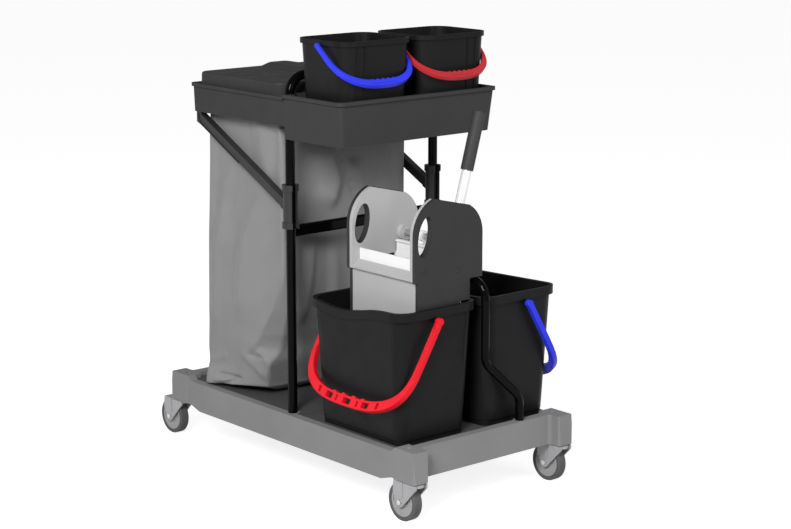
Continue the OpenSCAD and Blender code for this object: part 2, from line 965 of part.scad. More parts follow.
module lid_layer(inset, z) {
    for (s = [-1, 1]) {
        translate([lid_near_x - lid_hinge_r, s * (lid_w / 2 - lid_hinge_r), z])
            cylinder(r = lid_hinge_r - inset, h = skin, $fn = 48);
        translate([lid_far_x + lid_far_r, s * (lid_w / 2 - lid_far_r), z])
            cylinder(r = lid_far_r - inset, h = skin, $fn = 32);
    }
}

// Raised panel of the lid, drawn in by an inset
module lid_panel(inset, z) hull()
    translate([(lid_near_x - lid_panel_near + lid_far_x + lid_panel_far) / 2, 0, 0]) {
        l = lid_near_x - lid_far_x - lid_panel_near - lid_panel_far - 2 * inset;
        w = lid_panel_w - 2 * inset;
        layer(l, w, 20 - inset, z - lid_panel_h - 1);
        layer(l - 16, w - 60, 14 - inset, z - skin);
    }

module bag_lid() color("#404244") difference() {
    union() {
        hull() {
            lid_layer(0, lid_skirt_z);
            lid_layer(1, lid_top_z - lid_round);
            lid_layer(2.5, lid_top_z - 2.5);
            lid_layer(lid_round, lid_top_z - skin);
        }
        lid_panel(0, lid_top_z + lid_panel_h);
        for (s = [-1, 1])
            translate([hinge_x, s * hinge_y, hinge_z]) {
                rotate([90, 0, 0])
                    cylinder(d = knuckle_d, h = knuckle_l, center = true);
                translate([lid_near_x - hinge_x - 4, -knuckle_l / 2, -knuckle_d / 2])
                    cube([hinge_x - lid_near_x + 4, knuckle_l, knuckle_d - 2]);
            }
    }
    hull() {
        lid_layer(wall, lid_skirt_z - over);
        lid_layer(wall + lid_round, lid_top_z - wall);
    }
    lid_panel(wall, lid_top_z + lid_panel_h - wall);
    translate([hinge_x, 0, hinge_z])
        rotate([90, 0, 0])
            cylinder(d = hinge_pin_d + 2 * run_fit, h = 4 * hinge_y, center = true);
}

module lid_hinge_pins() color("#b9bbbd")
    for (s = [-1, 1])
        translate([hinge_x, s * hinge_y, hinge_z])
            rotate([90, 0, 0]) {
                cylinder(d = hinge_pin_d, h = knuckle_l + 2 * lug_t + 2, center = true);
                translate([0, 0, s * (knuckle_l / 2 + lug_t + 2)])
                    cylinder(d = hinge_pin_d + 4, h = 2, center = true);
            }

module clamp_bolts() color("#9a9c9e") clamp_axes() {
    translate([wall, 0, 0])
        mirror([1, 0, 0])
            screw(clamp_d, 2 * wall + 8, clamp_d * 1.8, 4);
    translate([-wall, 0, 0])
        rotate([0, -90, 0])
            cylinder(d = clamp_d * 1.9, h = 5, $fn = 6);
}

// Open sack with a drawn-in foot and a hem over the frame's ledge
module refuse_bag() color("#9c9d9f") {
    l = bag_l - 2 * mouth_gap;
    w = bag_w - 2 * mouth_gap;
    top = ledge_z + ledge_t + rest_gap;
    r = mouth_r;
    translate([mouth_x, 0, 0]) {
        difference() {
            sack_form(l, w, r, bag_z, top + hem_t);
            sack_form(l - 2 * bag_wall, w - 2 * bag_wall, r - bag_wall,
                bag_z + bag_wall, top + hem_t + over);
        }
        translate([0, 0, top])
            linear_extrude(hem_t)
                difference() {
                    round_rect(l + 2 * hem_w, w + 2 * hem_w, r + hem_w);
                    round_rect(l - 2 * bag_wall, w - 2 * bag_wall, r - bag_wall);
                }
    }
}

module sack_form(l, w, r, z0, z1) hull() {
    layer(l - 36, w - 40, r, z0);
    layer(l - 14, w - 16, r, z0 + 34);
    layer(l - 6, w - 6, r, z0 + 240);
    layer(l, w, r, z1);
}

// Buckets

// Bucket wall form, drafted from the rim to the foot, drawn in by an inset over a floor
module pail_form(l, w, r, foot_r, h, tx, ty, inset, floor_t, z) hull() {
    layer(l - 2 * tx - 2 * inset, w - 2 * ty - 2 * inset, foot_r - inset, z + floor_t);
    layer(l - 2 * inset, w - 2 * inset, r - inset, z + h + (inset > 0 ? over : 0));
}

// Height of a mop bucket's rim line: it falls to the rear, and dips beside the wringer
function rim_line(x, dip) = let (t = (x - mop_dip_x) / (0.8 * mop_l))
    mop_top_z - mop_rim_fall * (0.5 - x / mop_l) - (abs(t) < 0.5 ? dip * pow(cos(t * 180), 2) : 0);

// Side view below the rim line
module rim_plan(dip, reach) {
    n = 30;
    polygon(concat(
        [[reach, 0], [-reach, 0]],
        [for (i = [0:n]) let (x = reach * (2 * i / n - 1)) [x, rim_line(x, dip)]]
    ));
}

// Band that follows the rim line
module rim_band(dip) {
    difference() {
        rim_plan(dip, 0.51 * mop_l);
        translate([0, -mop_rim_h])
            rim_plan(dip, 0.52 * mop_l);
    }
}

// Right half of a mop bucket with a dipped rim, left half with a plain one
module rim_halves(band) {
    for (s = [0, 1])
        translate([0, s > 0 ? mop_w - skin : skin, 0])
            rotate([90, 0, 0])
                linear_extrude(mop_w) {
                    if (band)
                        rim_band(s > 0 ? 0 : mop_dip);
                    else
                        rim_plan(s > 0 ? 0 : mop_dip, 0.51 * mop_l);
                }
}

module along_y(w) rotate([90, 0, 0]) linear_extrude(w, center = true) children();

// Ring that a mop bucket stands on, in plan
module mop_foot_plan(inset) {
    l = mop_l - 2 * (mop_rim_out + mop_taper_x + inset);
    w = mop_w - 2 * (mop_rim_out + mop_taper_y + inset);
    round_rect(l, w, mop_r * 0.6);
}

module mop_bucket(side) color("#2a2b2d") translate([mop_x, mop_shift + side * mop_y, 0]) {
    l = mop_l - 2 * mop_rim_out;
    w = mop_w - 2 * mop_rim_out;
    foot_r = mop_r * 0.95;
    difference() {
        union() {
            intersection() {
                pail_form(l, w, mop_r, foot_r, mop_h, mop_taper_x, mop_taper_y, 0, 0, mop_floor_z);
                rim_halves(false);
            }
            intersection() {
                translate([0, 0, mop_floor_z + mop_h / 2])
                    linear_extrude(mop_h)
                        round_rect(mop_l, mop_w, mop_r + mop_rim_out);
                rim_halves(true);
            }
            translate([0, side * mop_pivot_out, 0])
                for (m = [0, 1])
                    mirror([m, 0, 0])
                        pivot_stud(mop_l / 2, mop_rim_out, mop_stud_d, mop_eye_d, mop_bail_t, mop_pivot_z);
        }
        pail_form(l, w, mop_r, foot_r, mop_h, mop_taper_x, mop_taper_y,
            bucket_wall, mop_foot_h + bucket_wall, mop_floor_z);
        translate([0, 0, mop_floor_z - over])
            linear_extrude(mop_foot_h + over)
                difference() {
                    square([mop_l, mop_w], center = true);
                    difference() {
                        mop_foot_plan(mop_foot_in);
                        mop_foot_plan(mop_foot_in + 2 * bucket_wall);
                    }
                }
    }
}

// Boss and stud that carry a bail's eye, along +X from a bucket's end wall
module pivot_stud(reach, rim_out, d, eye, t, z) {
    translate([reach - rim_out - 8, 0, z])
        rotate([0, 90, 0]) {
            cylinder(d = eye - 4, h = rim_out + 8 + pass_gap / 2);
            cylinder(d = d, h = rim_out + 8 + pass_gap + t - eye_skin - 1);
        }
}

// Right half of a bail's soft outline: an arm up to v0, then a curve to the middle at l
function bow_half(w, l, v0, n) = [for (i = [0:14]) let (f = 90 * i / 14)
    [w / 2 * pow(cos(f), 2 / n), v0 + (l - v0) * pow(sin(f), 2 / n)]];

// Area under a bail's outline, from y = -back up
module bow(w, l, v0, n, back) {
    half = bow_half(w, l, v0, n);
    polygon(concat(
        [[w / 2, -back]], half,
        [for (i = [len(half) - 2:-1:0]) [-half[i].x, half[i].y]],
        [[-w / 2, -back]]
    ));
}

// Bail lying in the XY plane: arms along +Y from eyes on the X axis to a bowed grip
module bail_plan(w, l, v0, n, arm, grip) {
    difference() {
        bow(w, l, v0, n, 0);
        bow(w - 2 * arm, l - grip, v0, n, over);
    }
}

// Windows in a large bail's grip: place and width along the grip
MOP_WINDOWS = [[0, 30], [40, 8], [70, 26], [112, 10]];

module mop_windows(w) {
    edge = 6.5;
    intersection() {
        difference() {
            bow(w, mop_bail_l - edge, mop_bail_v0, mop_bail_n, 0);
            bow(w - 2 * mop_bail_t, mop_bail_l - mop_grip_h + edge, mop_bail_v0, mop_bail_n, over);
        }
        for (s = [-1, 1], m = MOP_WINDOWS)
            translate([s * m[0] - m[1] / 2, 0])
                square([m[1], mop_bail_l]);
    }
}

module mop_bail_outline(w) {
    bail_plan(w, mop_bail_l, mop_bail_v0, mop_bail_n, mop_bail_t, mop_grip_h);
    for (u = [-56, -20, 20, 56])
        translate([u, mop_bail_l - mop_grip_h + 4])
            circle(9);
}

module mop_bail(side, tint) {
    w = mop_l + 2 * pass_gap + 2 * mop_bail_t;
    groove_l = mop_bail_v0 + 36 - mop_eye_d;
    color(tint)
        translate([mop_x, mop_shift + side * (mop_y + mop_pivot_out), mop_pivot_z])
            mirror([0, side > 0 ? 1 : 0, 0])
                rotate([-90 - mop_bail_rest, 0, 0])
                    difference() {
                        union() {
                            linear_extrude(mop_arm_w, center = true)
                                mop_bail_outline(w);
                            for (s = [-1, 1])
                                translate([s * (w / 2 - mop_bail_t / 2), 0, 0])
                                    rotate([0, 90, 0])
                                        cylinder(d = mop_eye_d, h = mop_bail_t, center = true);
                        }
                        linear_extrude(2 * mop_arm_w, center = true)
                            mop_windows(w);
                        for (s = [-1, 1], f = [-1, 1])
                            translate([s * (w / 2 - mop_bail_t / 2), mop_eye_d, f * (mop_arm_w / 2)])
                                translate([-(mop_bail_t - 7) / 2, 0, -3])
                                    cube([mop_bail_t - 7, groove_l, 6]);
                        rotate([0, 90, 0])
                            cylinder(d = mop_stud_d + 2 * run_fit, h = w - 2 * eye_skin, center = true);
                    }
}

module small_bucket(side) color("#2a2b2d") translate([small_x, small_shift + side * small_y, 0])
    mirror([0, side > 0 ? 1 : 0, 0]) {
        l = small_l - 2 * small_rim_out;
        w = small_w - 2 * small_rim_out;
        foot_r = small_r * 0.7;
        spout_y = -w / 4;
        lean = atan2(small_taper, small_h);
        difference() {
            union() {
                pail_form(l, w, small_r, foot_r, small_h, small_taper, small_taper, 0, 0, small_floor_z);
                translate([0, 0, small_top_z - small_rim_h])
                    linear_extrude(small_rim_h)
                        round_rect(small_l, small_w, small_r + small_rim_out);
                for (y = [spout_y - 13, spout_y + 13])
                    translate([l / 2 - 1, y, small_top_z - small_rim_h])
                        rotate([0, lean, 0])
                            translate([-3, -2.5, -small_h * 0.62])
                                cube([5.5, 5, small_h * 0.62]);
                for (s = [-1, 1])
                    rotate([0, 0, s * 90])
                        translate([0, s * (small_x - small_pivot_x), 0])
                            pivot_stud(small_w / 2, small_rim_out, stud_d, eye_d,
                                small_bail_t, small_pivot_z);
            }
            pail_form(l, w, small_r, foot_r, small_h, small_taper, small_taper,
                bucket_wall, bucket_wall, small_floor_z);
        }
    }

// Small bail in its own plane, with finger bumps along the grip
module small_bail_plan(w) {
    bumps = 5;
    bump_pitch = 17;
    bail_plan(w, small_bail_l, small_bail_v0, small_bail_n, small_bail_t, small_grip_h);
    for (i = [0:bumps - 1])
        translate([(i - (bumps - 1) / 2) * bump_pitch, small_bail_l - small_grip_h + 3])
            circle(7);
}

module small_bail(side, tint) {
    w = small_w + 2 * pass_gap + 2 * small_bail_t;
    dimples = 10;
    dimple_pitch = 8;
    color(tint)
        translate([small_pivot_x, small_shift + side * small_y, small_pivot_z])
            rotate([0, 0, 90])
                rotate([-90 - small_bail_rest, 0, 0])
                    difference() {
                        union() {
                            linear_extrude(small_arm_w, center = true)
                                small_bail_plan(w);
                            for (s = [-1, 1])
                                translate([s * (w / 2 - small_bail_t / 2), 0, 0])
                                    rotate([0, 90, 0])
                                        cylinder(d = eye_d, h = small_bail_t, center = true);
                        }
                        for (i = [0:dimples - 1], f = [-1, 1])
                            translate([(i - (dimples - 1) / 2) * dimple_pitch, small_bail_l - 8,
                                f * small_arm_w / 2])
                                cube([4, 4, 3], center = true);
                        rotate([0, 90, 0])
                            cylinder(d = stud_d + 2 * run_fit, h = w - 2 * eye_skin, center = true);
                    }
}

// Wringer

// Drawing plane across the cart (y, z), thickened along X from x0
module across(x0, t) translate([x0, 0, 0]) rotate([90, 0, 90]) linear_extrude(t) children();

// Outline of a side cover or a cheek, drawn in by an inset, necked where it enters the bucket
module side_outline(e, neck) {
    difference() {
        polygon([
            [wr_low_front + e, wr_foot + e], [wr_low_front + e, wr_step_z], [wr_front + e, wr_step_z + e],
            [wr_front + e, wr_top_front - e], [wr_rear - e, wr_top_rear - e], [wr_rear - e, wr_shoulder + e],
            [wr_low_rear - e, wr_shoulder + e], [wr_low_rear - e, wr_neck_z + e],
            [neck - e, wr_neck_z + e], [neck - e, wr_foot + e]
        ]);
        difference() {
            translate([wr_front - over, wr_front_arc_z])
                square([wr_front_r + over, 2 * wr_front_r]);
            translate([wr_front + wr_front_r, wr_front_arc_z])
                circle(wr_front_r - e, $fn = 96);
        }
        difference() {
            translate([wr_rear - wr_rear_r, wr_rear_arc_z])
                square([wr_rear_r + over, wr_rear_r]);
            translate([wr_rear - wr_rear_r, wr_rear_arc_z])
                circle(wr_rear_r - e, $fn = 96);
        }
    }
}

// Leaning oval hand hole, grown by a margin
module hand_hole(margin) {
    translate([hole_y, hole_z])
        rotate(-hole_lean)
            polygon([for (a = [0:9:351]) [(hole_a + margin) * cos(a), (hole_b + margin) * sin(a)]]);
}

// Slots in the cheeks that carry the press plate's runners
module runner_slots(d) {
    for (z = runner_zs) {
        for (y = [0, -press_travel])
            translate([press_y + press_t / 2 + y, z])
                circle(d = d);
        translate([press_y + press_t / 2 - press_travel, z - d / 2])
            square([press_travel, d]);
    }
}

module cheek_plan() {
    difference() {
        side_outline(1.5, cheek_neck);
        hand_hole(0);
        runner_slots(runner_d + 2 * rest_gap);
        translate([shaft_y, shaft_z])
            circle(d = bush_neck_d + 2 * seat_fit);
    }
}

module wringer_body() color("#b4b5b7") {
    across(cheek_x0, cheek_t)
        cheek_plan();
    across(throat_x1, cheek_t)
        cheek_plan();
    across(cheek_x0, cheek_x1 - cheek_x0)
        front_plan();
    across(cheek_x0, cheek_x1 - cheek_x0)
        translate([wr_low_rear - panel_t - 1.5, wr_neck_z + 4])
            square([panel_t, wr_shoulder - wr_neck_z - 8]);
}

// Front wall: lower panel, step and slanted lip
module front_plan() {
    f = wr_front + 1.5;
    lf = wr_low_front + 1.5;
    polygon([
        [lf, wr_foot + 10], [lf, wr_step_z], [f, wr_step_z + 2], [f, wr_step_z + 8],
        [f + 20, wr_step_z + 23], [f + 24, wr_step_z + 20], [f + panel_t + 1, wr_step_z + 6],
        [lf + panel_t, wr_step_z - 2], [lf + panel_t, wr_foot + 10]
    ]);
}

module side_cover(x_out, x_in) color("#3d3e40") {
    lo = min(x_out, x_in);
    skin_x = x_out < x_in ? x_out : x_out - cover_wall;
    difference() {
        union() {
            across(lo, cover_t)
                difference() {
                    side_outline(0, cover_neck);
                    side_outline(cover_wall, cover_neck);
                }
            across(skin_x, cover_wall)
                side_outline(0, cover_neck);
            across(lo, cover_t)
                hand_hole(cover_wall);
            across(lo, cover_t)
                translate([shaft_y, shaft_z])
                    circle(d = bush_neck_d + 10);
        }
        across(lo - over, cover_t + 2 * over)
            hand_hole(0);
        across(x_out < x_in ? lo + cover_wall : lo - over, cover_t - cover_wall + over)
            translate([shaft_y, shaft_z])
                circle(d = bush_neck_d + 2 * seat_fit);
    }
}

module side_cover_front() side_cover(wringer_x1, cheek_x1);

module side_cover_rear() side_cover(wringer_x0, cheek_x0);

// Slanted perforated jaw behind the front wall
module fixed_jaw() color("#e4e5e6") difference() {
    across(throat_x0 + rest_gap, throat_x1 - throat_x0 - 2 * rest_gap)
        polygon([
            [jaw_top_y, jaw_rise_z], [jaw_top_y + jaw_t, jaw_rise_z], [jaw_top_y + jaw_t, wr_step_z + 8],
            [jaw_foot_y + jaw_t, wr_foot + 14], [jaw_foot_y + jaw_t, wr_foot + 2],
            [jaw_back_y, wr_foot + 2], [jaw_back_y, wr_foot + 6],
            [jaw_foot_y, wr_foot + 6], [jaw_foot_y, wr_foot + 14], [jaw_top_y, wr_step_z + 8]
        ]);
    drain_slots(-200, 60);
}

// Rows of drain slots through an upright plate, cut along Y
module drain_slots(y0, depth) {
    cols = 7;
    rows = 3;
    pitch = (throat_x1 - throat_x0) / (cols + 1);
    for (i = [1:cols], j = [0:rows - 1])
        translate([throat_x0 + i * pitch - 3, y0, press_foot + 22 + j * 34])
            cube([6, depth, 22]);
}

module press_plate() color("#e4e5e6") difference() {
    x0 = throat_x0 + press_gap;
    x1 = throat_x1 - press_gap;
    union() {
        translate([x0, press_y, press_foot])
            cube([x1 - x0, press_t, press_top - press_foot]);
        for (z = runner_zs)
            translate([throat_x0 - cheek_t / 2, press_y + press_t / 2, z])
                rotate([0, 90, 0])
                    cylinder(d = runner_d, h = throat_x1 - throat_x0 + cheek_t);
        for (z = runner_zs)
            for (x = [throat_x0 + rest_gap, x1 - 1])
                translate([x, press_y, z - 8])
                    cube([press_gap + 1 - rest_gap, press_t, 16]);
        for (z = [press_foot, press_top - 5])
            translate([x0, press_y - 4, z])
                cube([x1 - x0, 5, 5]);
    }
    drain_slots(press_y - 10, press_t + 20);
}

module wringer_shaft() color("#b9bbbd")
    translate([wringer_x0 + cover_wall + 1, shaft_y, shaft_z])
        rotate([0, 90, 0])
            cylinder(d = shaft_d, h = wringer_l - 2 * cover_wall - 2);

module shaft_bushes() color("#a4a5a7")
    for (m = [0, 1])
        translate([m * (wringer_x0 + wringer_x1), shaft_y, shaft_z])
            mirror([m, 0, 0])
                rotate([0, 90, 0])
                    difference() {
                        union() {
                            translate([0, 0, wringer_x0 + cover_wall + 1])
                                cylinder(d = bush_neck_d, h = cover_t + cheek_t - cover_wall - 1);
                            translate([0, 0, throat_x0])
                                cylinder(d = bush_d, h = bush_l);
                        }
                        translate([0, 0, wringer_x0])
                            cylinder(d = shaft_d + 2 * run_fit, h = wringer_l);
                    }

// Cam whose working flank is an involute, so that the plate keeps step with the lever
module press_cams() color("#8d8f91") difference() {
    for (x = cam_xs)
        across(x, cam_t)
            translate([shaft_y, shaft_z]) {
                polygon(concat(
                    [for (i = [0:cam_steps]) cam_point(lever_swing * i / cam_steps)],
                    [[6, -cam_hub_d / 2 - 4], [0, 0]]
                ));
                circle(d = cam_hub_d);
            }
    translate([0, shaft_y, shaft_z])
        rotate([0, 90, 0])
            cylinder(d = shaft_d + 2 * seat_fit, h = 2 * base_l, center = true);
}

// Point of the flank that touches the plate when the lever has turned by an angle
function cam_point(a) = let (h = press_seat - cam_gap + cam_rate * a * PI / 180)
    [-h * cos(a) + cam_rate * sin(a), -h * sin(a) - cam_rate * cos(a)];

module on_lever() translate([lever_x, shaft_y, shaft_z]) rotate([-lever_rest, 0, 0]) children();

module lever_socket() color("#3d3e40") on_lever() difference() {
    union() {
        rotate([0, 90, 0])
            cylinder(d = shaft_d + 18, h = socket_d, center = true);
        cylinder(d = socket_d, h = socket_l);
    }
    rotate([0, 90, 0])
        cylinder(d = shaft_d + 2 * seat_fit, h = 2 * socket_d, center = true);
    translate([0, 0, shaft_d / 2 + 8])
        cylinder(d = pole_d + 2 * seat_fit, h = socket_l);
}

module lever_pole() color("#e9eaeb") on_lever()
    translate([0, 0, shaft_d / 2 + 8 + rest_gap])
        difference() {
            cylinder(d = pole_d, h = lever_l - shaft_d / 2 - 8 - rest_gap - 6);
            translate([0, 0, -over])
                cylinder(d = pole_d - 4, h = lever_l);
        }

module lever_grip() color("#3a3b3d") on_lever() difference() {
    translate([0, 0, lever_l - grip_l])
        rotate_extrude()
            difference() {
                union() {
                    square([grip_d / 2, grip_l - 5]);
                    square([grip_d / 2 - 5, grip_l]);
                    translate([grip_d / 2 - 5, grip_l - 5])
                        circle(5);
                }
                translate([-grip_d, -over])
                    square([grip_d, 2 * grip_l]);
            }
    cylinder(d = pole_d + 2 * seat_fit, h = lever_l - 5.5);
}

// Wringer stand

// Corner points of one leg of the stand, from its foot up
function stand_leg(x) = [
    [x, stand_foot_y, front_socket_z + rest_gap], [x, stand_foot_y, stand_knee_low],
    [x, stand_y, stand_knee_top], [x, stand_y, stand_z]
];

module wringer_stand() color("#151517") {
    front = stand_leg(stand_x1);
    rear = stand_leg(stand_x0);
    corners = concat(front, [rear[3], rear[2], rear[1], rear[0]]);
    swept_rod(rounded_path(corners, stand_r, 6), stand_d, 20, [1, 0, 0]);
}

// Straps that hold the wringer's lower back edge to the stand's bar
module stand_straps() color("#202022")
    for (x = [cheek_x0 + 20, cheek_x1 - 20 - clip_strap_l])
        across(x, clip_strap_l)
            difference() {
                union() {
                    translate([stand_y, stand_z])
                        circle(d = stand_d + 2 * clip_strap_t);
                    translate([wr_low_rear - 1.5, stand_z - stand_d / 2 - clip_strap_t])
                        square([stand_y - wr_low_rear + 1.5, 2 * clip_strap_t + 6]);
                }
                translate([stand_y, stand_z])
                    circle(d = stand_d + 2 * seat_fit);
                translate([wr_low_rear - 2, wr_shoulder - 1])
                    square([2 * stand_d + 30, 20]);
            }

// The cart

module on_cart() translate([cart_x, -mop_shift, 0]) children();

module left() mirror([0, 1, 0]) children();

on_cart() base_frame();
on_cart() deck_panel();
on_cart() caster_stems();
for (c = CORNERS) {
    on_cart() caster_fork(c);
    on_cart() caster_axle(c);
    on_cart() caster_hub(c);
    on_cart() caster_tyre(c);
}
on_cart() upright_frame();
on_cart() cross_bar();
on_cart() bracket();  // bracket_right
on_cart() left() bracket();  // bracket_left
on_cart() bracket_screws();
on_cart() bag_frame();
on_cart() bag_lid();
on_cart() lid_hinge_pins();
on_cart() refuse_bag();
on_cart() upper_tray();
on_cart() clamp_bolts();
on_cart() small_bucket(-1);  // small_bucket_right
on_cart() small_bucket(1);  // small_bucket_left
on_cart() small_bail(-1, "#4050f0");  // small_bail_right
on_cart() small_bail(1, "#d03a40");  // small_bail_left
on_cart() mop_bucket(-1);  // mop_bucket_right
on_cart() mop_bucket(1);  // mop_bucket_left
on_cart() mop_bail(-1, "#e0202c");  // mop_bail_right
on_cart() mop_bail(1, "#1a1ee0");  // mop_bail_left
on_cart() wringer_stand();
on_cart() stand_straps();
on_cart() wringer_body();
on_cart() side_cover_front();
on_cart() side_cover_rear();
on_cart() fixed_jaw();
on_cart() press_plate();
on_cart() wringer_shaft();
on_cart() shaft_bushes();
on_cart() press_cams();
on_cart() lever_socket();
on_cart() lever_pole();
on_cart() lever_grip();
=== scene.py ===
"""Looks of a wheeled cleaning cart, dressed over the solids that the frame holds."""

import json
import logging
import math
from dataclasses import dataclass, field
from enum import Enum

import bmesh
import bpy
import numpy as np
from mathutils import Matrix, Vector, noise


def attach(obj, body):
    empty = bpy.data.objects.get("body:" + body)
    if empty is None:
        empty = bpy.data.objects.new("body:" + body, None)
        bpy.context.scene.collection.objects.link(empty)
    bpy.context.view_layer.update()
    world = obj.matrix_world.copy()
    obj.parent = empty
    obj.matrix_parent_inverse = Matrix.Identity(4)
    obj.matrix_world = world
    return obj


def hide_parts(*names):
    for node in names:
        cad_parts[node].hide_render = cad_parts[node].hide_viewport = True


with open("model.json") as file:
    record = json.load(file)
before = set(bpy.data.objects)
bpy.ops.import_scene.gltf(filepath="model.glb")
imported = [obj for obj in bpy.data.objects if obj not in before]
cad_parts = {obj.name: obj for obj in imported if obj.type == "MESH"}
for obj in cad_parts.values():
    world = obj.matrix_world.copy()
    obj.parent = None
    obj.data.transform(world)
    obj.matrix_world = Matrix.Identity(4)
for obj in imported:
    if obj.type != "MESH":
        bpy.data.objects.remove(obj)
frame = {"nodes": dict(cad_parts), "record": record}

log = logging.getLogger("cart")

Colour = tuple[float, float, float]
Point = tuple[float, float, float]
Span = tuple[float, float]
Socket = bpy.types.NodeSocket

# Middle of the base in the cart's frame
CART_X = 0.03425
CART_Y = -0.012
# Sockets of a colour Mix node
MIX_FIRST, MIX_SECOND, MIX_RESULT = 6, 7, 2
# How far the softened normal agrees with the flat one, at a sharp edge and away from one
EDGE_SHARP, EDGE_FLAT = 0.82, 0.985
# Share of a fold's length that each end takes to fade, and share of its flank that is straight
FOLD_FADE, FOLD_STRAIGHT = 0.22, 0.65


class Grain(Enum):
    """How the surface of a moulding was textured."""

    SMOOTH = "smooth"
    SATIN = "satin"
    PEBBLE = "pebble"


GRAIN_SCALE: dict[Grain, float] = {Grain.SMOOTH: 90.0, Grain.SATIN: 620.0, Grain.PEBBLE: 380.0}
GRAIN_DEPTH: dict[Grain, float] = {Grain.SMOOTH: 0.04, Grain.SATIN: 0.10, Grain.PEBBLE: 0.22}


class NodeBench:
    """A material under construction, with short ways to add and join its nodes."""

    def __init__(self, name: str) -> None:
        """Start an empty material with a Principled shader.

        Args:
            name: The material's name.
        """
        self.material = bpy.data.materials.new(name)
        self.material.use_nodes = True
        self.tree = self.material.node_tree
        self.shader = self.tree.nodes["Principled BSDF"]
        self.place = self.tree.nodes.new("ShaderNodeTexCoord")

    def add(self, kind: str, **settings: object) -> bpy.types.Node:
        """Add a node.

        Args:
            kind: The node's type name.
            settings: Attributes by name; inputs are set by the input's name after "in_".

        Returns:
            The new node.
        """
        node = self.tree.nodes.new(kind)
        for key, value in settings.items():
            if key.startswith("in_"):
                node.inputs[key[3:].replace("_", " ")].default_value = value
            else:
                setattr(node, key, value)
        return node

    def join(self, output: Socket, target: Socket) -> None:
        """Link an output socket to an input socket."""
        self.tree.links.new(output, target)

    def noise(self, scale: float, detail: float, stretch: Point = (1, 1, 1)) -> Socket:
        """Noise on the piece's own coordinates.

        Args:
            scale: Waves to the metre.
            detail: Octaves.
            stretch: Factors along X, Y and Z.

        Returns:
            The noise value's socket.
        """
        texture = self.add("ShaderNodeTexNoise", in_Scale=scale, in_Detail=detail)
        mapping = self.add("ShaderNodeMapping")
        mapping.inputs["Scale"].default_value = stretch
        self.join(self.place.outputs["Object"], mapping.inputs["Vector"])
        self.join(mapping.outputs["Vector"], texture.inputs["Vector"])
        return texture.outputs["Fac"]

    def spread(self, value: Socket, low: float, high: float,
               start: float = 0.3, end: float = 0.7) -> Socket:
        """Map a value from one range to another, clamped.

        Args:
            value: The socket to map.
            low: Result at the start.
            high: Result at the end.
            start: Value that gives low.
            end: Value that gives high.

        Returns:
            The mapped value's socket.
        """
        node = self.add("ShaderNodeMapRange")
        self.join(value, node.inputs["Value"])
        for name, number in (("From Min", start), ("From Max", end),
                             ("To Min", low), ("To Max", high)):
            node.inputs[name].default_value = number
        return node.outputs["Result"]

    def tint(self, value: Socket, first: Colour, second: Colour) -> Socket:
        """Mix two colours by a value.

        Args:
            value: The mix from 0 to 1.
            first: Colour at 0.
            second: Colour at 1.

        Returns:
            The mixed colour's socket.
        """
        node = self.add("ShaderNodeMix", data_type="RGBA")
        self.join(value, node.inputs["Factor"])
        node.inputs[MIX_FIRST].default_value = (*first, 1)
        node.inputs[MIX_SECOND].default_value = (*second, 1)
        return node.outputs[MIX_RESULT]

    def over(self, value: Socket, under: Socket, colour: Colour) -> Socket:
        """Lay a colour over another by a value.

        Args:
            value: The cover from 0 to 1.
            under: The colour that it covers.
            colour: The colour on top.

        Returns:
            The covered colour's socket.
        """
        node = self.add("ShaderNodeMix", data_type="RGBA")
        self.join(value, node.inputs["Factor"])
        self.join(under, node.inputs[MIX_FIRST])
        node.inputs[MIX_SECOND].default_value = (*colour, 1)
        return node.outputs[MIX_RESULT]

    def edges(self, radius: float) -> tuple[Socket, Socket]:
        """Softened normal and a mask of the edges.

        Args:
            radius: Reach of the softening in metres.

        Returns:
            The softened normal's socket and the mask's socket, 1 at a sharp edge.
        """
        bevel = self.add("ShaderNodeBevel", samples=4, in_Radius=radius)
        flat = self.add("ShaderNodeNewGeometry")
        dot = self.add("ShaderNodeVectorMath", operation="DOT_PRODUCT")
        self.join(bevel.outputs["Normal"], dot.inputs[0])
        self.join(flat.outputs["Normal"], dot.inputs[1])
        mask = self.spread(dot.outputs["Value"], 1.0, 0.0, EDGE_SHARP, EDGE_FLAT)
        return bevel.outputs["Normal"], mask

    def product(self, a: Socket, b: Socket) -> Socket:
        """Multiply two values.

        Args:
            a: The first value's socket.
            b: The second value's socket.

        Returns:
            The product's socket.
        """
        node = self.add("ShaderNodeMath", operation="MULTIPLY")
        self.join(a, node.inputs[0])
        self.join(b, node.inputs[1])
        return node.outputs["Value"]

    def bump(self, height: Socket, strength: float, depth: float,
             normal: Socket | None = None) -> Socket:
        """Bump from a height.

        Args:
            height: The height's socket.
            strength: Share of the bump that shows.
            depth: Metres from 0 to 1.
            normal: Normal that the bump starts from.

        Returns:
            The bumped normal's socket.
        """
        node = self.add("ShaderNodeBump", in_Strength=strength, in_Distance=depth)
        self.join(height, node.inputs["Height"])
        if normal is not None:
            self.join(normal, node.inputs["Normal"])
        return node.outputs["Normal"]

    def set(self, **values: object) -> None:
        """Set constants on the shader's own sockets, by name with spaces as underscores."""
        for key, value in values.items():
            self.shader.inputs[key.replace("_", " ")].default_value = value


def shade(colour: Colour, factor: float) -> Colour:
    """Scale a colour, kept below white."""
    return tuple(min(0.95, c * factor) for c in colour)


